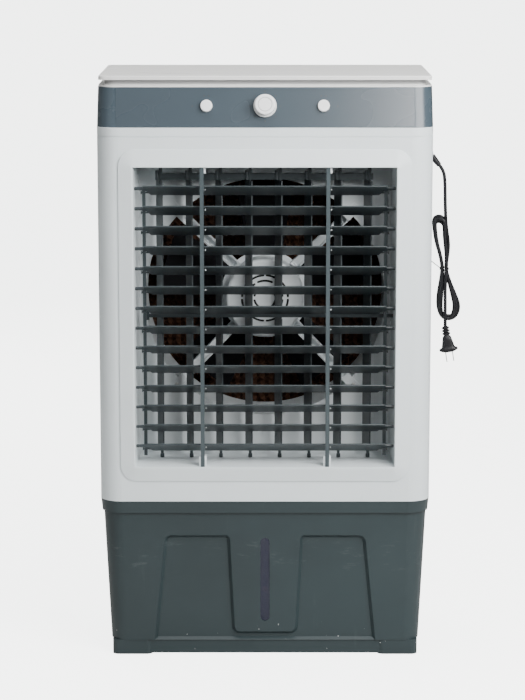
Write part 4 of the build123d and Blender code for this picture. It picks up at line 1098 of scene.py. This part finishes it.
# ---------------------------------------------------------------- printed panel
@dataclass
class PanelPrint:
    """Generic marks on the control film: dots round the knob, and three by each cap."""

    tilt: float = PANEL_LEAN
    dot_radius: float = 0.0013
    dot_depth: float = 0.0001
    dot_sides: int = 20
    dial_radius: float = 0.0265
    dots: int = 8
    lift: float = 0.00006
    cap_offset: float = 0.104
    mark_offset: float = 0.0185
    film_drop: float = 0.00207
    film: float = 0.0005
    pair_gap: float = 0.004
    beside_cap: float = 0.025

    def placement(self) -> Matrix:
        """The film's outer face at the knob's axis: local Z out of the panel, local Y up it."""
        lower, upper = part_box("control_overlay")
        lean = math.radians(self.tilt)
        out = Vector((0.0, -math.cos(lean), math.sin(lean)))
        up = Vector((0.0, math.sin(lean), math.cos(lean)))
        middle = Vector((0.0, (lower.y + upper.y) / 2, (lower.z + upper.z) / 2))
        middle += out * (self.film / 2 + self.lift)
        middle += up * self.film_drop
        turn = Matrix((Vector((1.0, 0.0, 0.0)), up, out)).transposed().to_4x4()
        return Matrix.Translation(middle) @ turn

    def build(self, palette: Palette) -> None:
        """Make the dial dots and the cap marks."""
        place = self.placement()
        seeds = []
        for dot in range(self.dots):
            turn = math.radians(-90 + dot * 360 / self.dots)
            spot = Vector((self.dial_radius * math.cos(turn), self.dial_radius * math.sin(turn), 0.0))
            seeds.append(place @ spot)
        for side in Side:
            cap = side.value * self.cap_offset
            for row in (-1, 1):
                seeds.append(place @ Vector((cap + row * self.pair_gap, self.mark_offset, 0.0)))
            seeds.append(place @ Vector((side.value * (self.cap_offset + self.beside_cap), 0.0, 0.0)))
        out = place.to_3x3() @ Vector((0.0, 0.0, 1.0))
        tree = NodeMesh("panel_dots")
        radius = tree.size("Dot Radius", self.dot_radius)
        disc = {"Vertices": self.dot_sides, "Radius": radius, "Depth": self.dot_depth}
        dots = tree.set_out(tree.node("GeometryNodeMeshCylinder", inputs=disc).outputs[0])
        mesh = tree.bake(dots, seed_points("dot_seeds", seeds, out), palette.materials["panel_ink"])
        piece("panel_marks", mesh, "cabinet", "panel_ink", palette)


# ---------------------------------------------------------------- screws
@dataclass
class Screws:
    """Pan-head screws of the rear grille and the fan bracket's feet."""

    head_radius: float = 0.0042
    head_height: float = 0.0022
    slot_length: float = 1.1
    slot_width: float = 0.24
    grille_inset: float = 0.012
    foot_inset: float = 0.0124

    def heads(
        self, name: str, places: Sequence[Vector], facing: Sequence[Vector] | Vector, palette: Palette
    ) -> None:
        """Set a cross-recessed head on each place.

        Args:
            name: The piece's name.
            places: Where the heads sit.
            facing: Which way they point.
            palette: The built finishes.
        """
        tree = NodeMesh(name + "_nodes")
        radius = tree.size("Head Radius", self.head_radius)
        height = tree.size("Head Height", self.head_height)
        dome = tree.node("GeometryNodeMeshUVSphere", inputs={"Segments": 24, "Rings": 12, "Radius": radius})
        flat = tree.node("ShaderNodeCombineXYZ", inputs={0: 1.0, 1: 1.0, 2: height / radius})
        squat = tree.node(
            "GeometryNodeTransform", inputs={"Geometry": dome.outputs[0], "Scale": flat.outputs[0]}
        )
        cutters = []
        for long_axis in (0, 1):
            reach = {long_axis: radius * self.slot_length, 1 - long_axis: radius * self.slot_width, 2: height}
            size = tree.node("ShaderNodeCombineXYZ", inputs=reach)
            bar = tree.node("GeometryNodeMeshCube", inputs={"Size": size.outputs[0]})
            lift = tree.node("ShaderNodeCombineXYZ", inputs={2: height})
            raised = {"Geometry": bar.outputs[0], "Translation": lift.outputs[0]}
            cutters.append(tree.node("GeometryNodeTransform", inputs=raised))
        recessed = squat.outputs[0]
        for cutter in cutters:
            cut = tree.node("GeometryNodeMeshBoolean", {"operation": "DIFFERENCE"}, {"Mesh 1": recessed})
            tree.tree.links.new(cutter.outputs[0], cut.inputs["Mesh 2"])
            recessed = cut.outputs[0]
        seed = seed_points(name + "_seeds", places, facing)
        mesh = tree.bake(tree.set_out(recessed), seed, palette.materials["turned_steel"])
        piece(name, mesh, "cabinet", "turned_steel", palette)

    def build(self, palette: Palette) -> None:
        """Place the screws on the grille and the bracket's feet."""
        low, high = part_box("rear_grille")
        inset = self.grille_inset
        columns = [low.x + inset, 0.0, high.x - inset]
        rows = [low.z + inset, (low.z + high.z) / 2, high.z - inset]
        ring = [Vector((x, high.y, z)) for x in columns for z in rows if not (x == 0.0 and z == rows[1])]
        self.heads("grille_screws", ring, Vector((0.0, 1.0, 0.0)), palette)
        low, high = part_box("motor_bracket")
        middle = (low + high) / 2
        reach = (high.x - low.x) / 2 - self.foot_inset
        feet = [Vector((middle.x + a * reach, low.y, middle.z + b * reach)) for a in (-1, 1) for b in (-1, 1)]
        self.heads("bracket_screws", feet, Vector((0.0, -1.0, 0.0)), palette)


# ---------------------------------------------------------------- stay trim
@dataclass
class StayTrim:
    """Pale snap heads beside each stay at the louvre pivots, and the tab that holds its upper end."""

    count: int = 14
    head_radius: float = 0.0013
    beside: float = 0.0058
    lift: float = 0.0028
    forward: float = 0.0055
    stay_half: float = 0.0035
    tab: Point = (0.0035, 0.006, 0.010)
    tab_forward: float = 0.006
    tab_drop: float = 0.001
    tab_round: float = 0.0006

    def build(self, palette: Palette) -> None:
        """Place the heads and the tabs from the stays' and louvres' own boxes."""
        low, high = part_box("louvre_stays")
        half = self.stay_half
        stays = [low.x + half, high.x - half]
        levels = []
        for index in range(1, self.count + 1):
            lower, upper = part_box(f"louvre_{index:02d}")
            levels.append((lower.z + upper.z) / 2 + self.lift)
        place_y = (low.y + high.y) / 2 + self.forward
        seeds = [Vector((x + self.beside, place_y, z)) for x in stays for z in levels]
        tree = NodeMesh("snap_heads_nodes")
        radius = tree.size("Head Radius", self.head_radius)
        head = tree.node("GeometryNodeMeshIcoSphere", inputs={"Radius": radius, "Subdivisions": 2})
        rows = tree.node(
            "GeometryNodeInstanceOnPoints",
            inputs={"Points": tree.source.outputs[0], "Instance": head.outputs[0]},
        )
        seed = seed_points("snap_heads_seeds", seeds, Vector((0.0, -1.0, 0.0)))
        mesh = tree.bake(rows.outputs[0], seed, palette.materials["inner_white"])
        piece("snap_heads", mesh, "cabinet", "inner_white", palette)

        def tabs(work: bmesh.types.BMesh) -> None:
            """A rounded tab beside the upper end of each stay."""
            for x in stays:
                made = bmesh.ops.create_cube(work, size=1.0)["verts"]
                size = Matrix.Diagonal((*self.tab, 1.0))
                beside, top = x + half + self.tab[0] / 2, high.z - self.tab[2] / 2 - self.tab_drop
                spot = Matrix.Translation((beside, low.y + self.tab_forward, top))
                bmesh.ops.transform(work, matrix=spot @ size, verts=made)
            bmesh.ops.bevel(work, geom=work.edges[:], offset=self.tab_round, segments=2, affect="EDGES")

        piece("stay_tabs", mesh_from("stay_tabs", tabs), "cabinet", "inner_white", palette)


# ---------------------------------------------------------------- dressing the CAD nodes
DRESS: dict[str, tuple[str, ...]] = {
    "shell_white": ("front_casing", "rear_casing", "louvre_frame", "rear_grille", "fill_flap"),
    "lid_white": ("top_cover",),
    "tank_grey": ("tank", "base_collar"),
    "band_grey": ("control_housing",),
    "panel_film": ("control_overlay",),
    "blade_grey": ("louvre_", "vane_", "link_rods"),
    "stay_grey": ("louvre_stays",),
    "inner_white": ("fan_shroud", "motor_bracket", "motor_cover", "water_distributor"),
    "knob_dial": ("speed_knob",),
    "knob_white": ("button_left", "button_right"),
    "fan_black": ("fan", "speed_switch", "swing_motor", "swing_crank", "pump", "pump_impeller"),
    "motor_enamel": ("fan_motor",),
    "turned_steel": ("fan_shaft",),
    "pad_paper": ("cooling_pad",),
    "level_lens": ("level_window",),
    "float_red": ("float_ball",),
    "cord_vinyl": ("cable_gland", "power_cord", "cord_hank", "plug", "drain_plug"),
    "hose_grey": ("water_hose",),
}


def dress(nodes: Mapping[str, bpy.types.Object], palette: Palette) -> None:
    """Paint every CAD node with its finish.

    Args:
        nodes: The CAD nodes by name.
        palette: The built finishes.
    """
    exact = {node: finish for finish, names in DRESS.items() for node in names}
    for name, thing in nodes.items():
        finish = exact.get(name)
        if finish is None:
            finish = next(f for start, f in exact.items() if start.endswith("_") and name.startswith(start))
        palette.paint(thing, finish)
        LOG.info("%s wears %s", name, finish)


# ---------------------------------------------------------------- studio
@dataclass(frozen=True)
class SoftBox:
    """A rectangular soft light.

    Args:
        name: The light's name.
        place: Where it hangs.
        target: What it points at.
        size: Width and height of its window.
        power: Watts.
    """

    name: str
    place: Point
    target: Point
    size: tuple[float, float]
    power: float

    def hang(self) -> None:
        """Hang the light, out of the camera's sight."""
        data = bpy.data.lights.new(self.name, "AREA")
        data.shape = "RECTANGLE"
        data.size, data.size_y = self.size
        data.energy = self.power
        lamp = bpy.data.objects.new(self.name, data)
        lamp.location = self.place
        lamp.rotation_euler = (Vector(self.target) - Vector(self.place)).to_track_quat("-Z", "Y").to_euler()
        bpy.context.scene.collection.objects.link(lamp)
        lamp.visible_camera = False


LAMPS = (
    SoftBox("key", (1.2, -1.45, 1.65), (0.0, 0.0, 0.75), (1.2, 1.2), 75.0),
    SoftBox("panel glare", (0.50, -1.5, 1.5), (0.15, 0.0, 0.9), (0.26, 0.6), 9.0),
    SoftBox("fill", (-2.2, -3.2, 1.4), (0.0, 0.0, 0.5), (1.6, 1.6), 12.0),
    SoftBox("top", (0.0, -0.2, 3.0), (0.0, 0.0, 0.5), (1.8, 1.8), 52.0),
    SoftBox("rear fill", (-1.6, 2.8, 1.8), (0.0, 0.0, 0.5), (1.4, 1.4), 60.0),
)


@dataclass
class Studio:
    """Pale seamless backdrop, soft lights and the camera."""

    camera_place: Point = (-0.0045, -4.6026, 1.366)
    camera_pitch: float = 10.18
    lens: float = 128.9
    sensor: float = 36.0
    floor_front: float = -24.0
    floor_back: float = 6.5
    bend: float = 1.2
    bend_steps: int = 16
    wall_height: float = 7.0
    half_width: float = 16.0
    paper: Colour = (0.60, 0.60, 0.59)
    glow: Colour = (4.3, 4.4, 4.35)
    sky_strength: float = 0.38

    def backdrop(self) -> None:
        """A floor that bends up into a wall."""
        def build(work: bmesh.types.BMesh) -> None:
            """Sweep the backdrop's profile across."""
            profile = [(self.floor_front, 0.0), (self.floor_back, 0.0)]
            for step in range(1, self.bend_steps + 1):
                turn = math.pi / 2 * step / self.bend_steps
                out, up = self.bend * math.sin(turn), self.bend * (1 - math.cos(turn))
                profile.append((self.floor_back + out, up))
            profile.append((self.floor_back + self.bend, self.wall_height))
            sides = (-self.half_width, self.half_width)
            rows = [[work.verts.new((x, y, z)) for x in sides] for y, z in profile]
            for a, b in zip(rows, rows[1:]):
                work.faces.new((a[0], a[1], b[1], b[0]))

        mesh = mesh_from("backdrop", build, smooth=60.0)
        floor = bpy.data.objects.new("backdrop", mesh)
        bpy.context.scene.collection.objects.link(floor)
        shade = Shader("backdrop_paper")
        fibre = shade.noise(3.0, detail=2.0)
        shade.set(Base_Color=shade.mix(fibre, self.paper, scaled(self.paper, 0.99)), Roughness=0.95)
        shade.set(Specular_IOR_Level=0.1)
        direct = shade.signal(shade.node("ShaderNodeLightPath"), "Is Camera Ray")
        shade.set(Emission_Color=shade.mix(direct, (0.0, 0.0, 0.0), self.glow), Emission_Strength=1.0)
        floor.data.materials.append(shade.material)

    def build(self) -> None:
        """Set the backdrop, sky, lights and camera."""
        self.backdrop()
        world = bpy.data.worlds.new("studio")
        world.use_nodes = True
        world.node_tree.nodes["Background"].inputs["Color"].default_value = (1.0, 1.0, 1.0, 1.0)
        world.node_tree.nodes["Background"].inputs["Strength"].default_value = self.sky_strength
        bpy.context.scene.world = world
        for lamp in LAMPS:
            lamp.hang()
        data = bpy.data.cameras.new("camera")
        data.lens = self.lens
        data.sensor_width = self.sensor
        data.clip_end = 60.0
        camera = bpy.data.objects.new("camera", data)
        camera.location = self.camera_place
        camera.rotation_euler = Euler((math.radians(90 - self.camera_pitch), 0.0, 0.0))
        bpy.context.scene.collection.objects.link(camera)
        bpy.context.scene.camera = camera


def main() -> None:
    """Load the frame, build every piece, and set up the studio."""
    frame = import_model()
    palette = Palette(FINISHES)
    dress(frame["nodes"], palette)
    MainsLead().build(palette)
    PadCore().build(palette)
    PanelPrint().build(palette)
    Screws().build(palette)
    StayTrim().build(palette)
    Studio().build()
    bpy.context.view_layer.update()


if __name__ == "__main__":
    main()
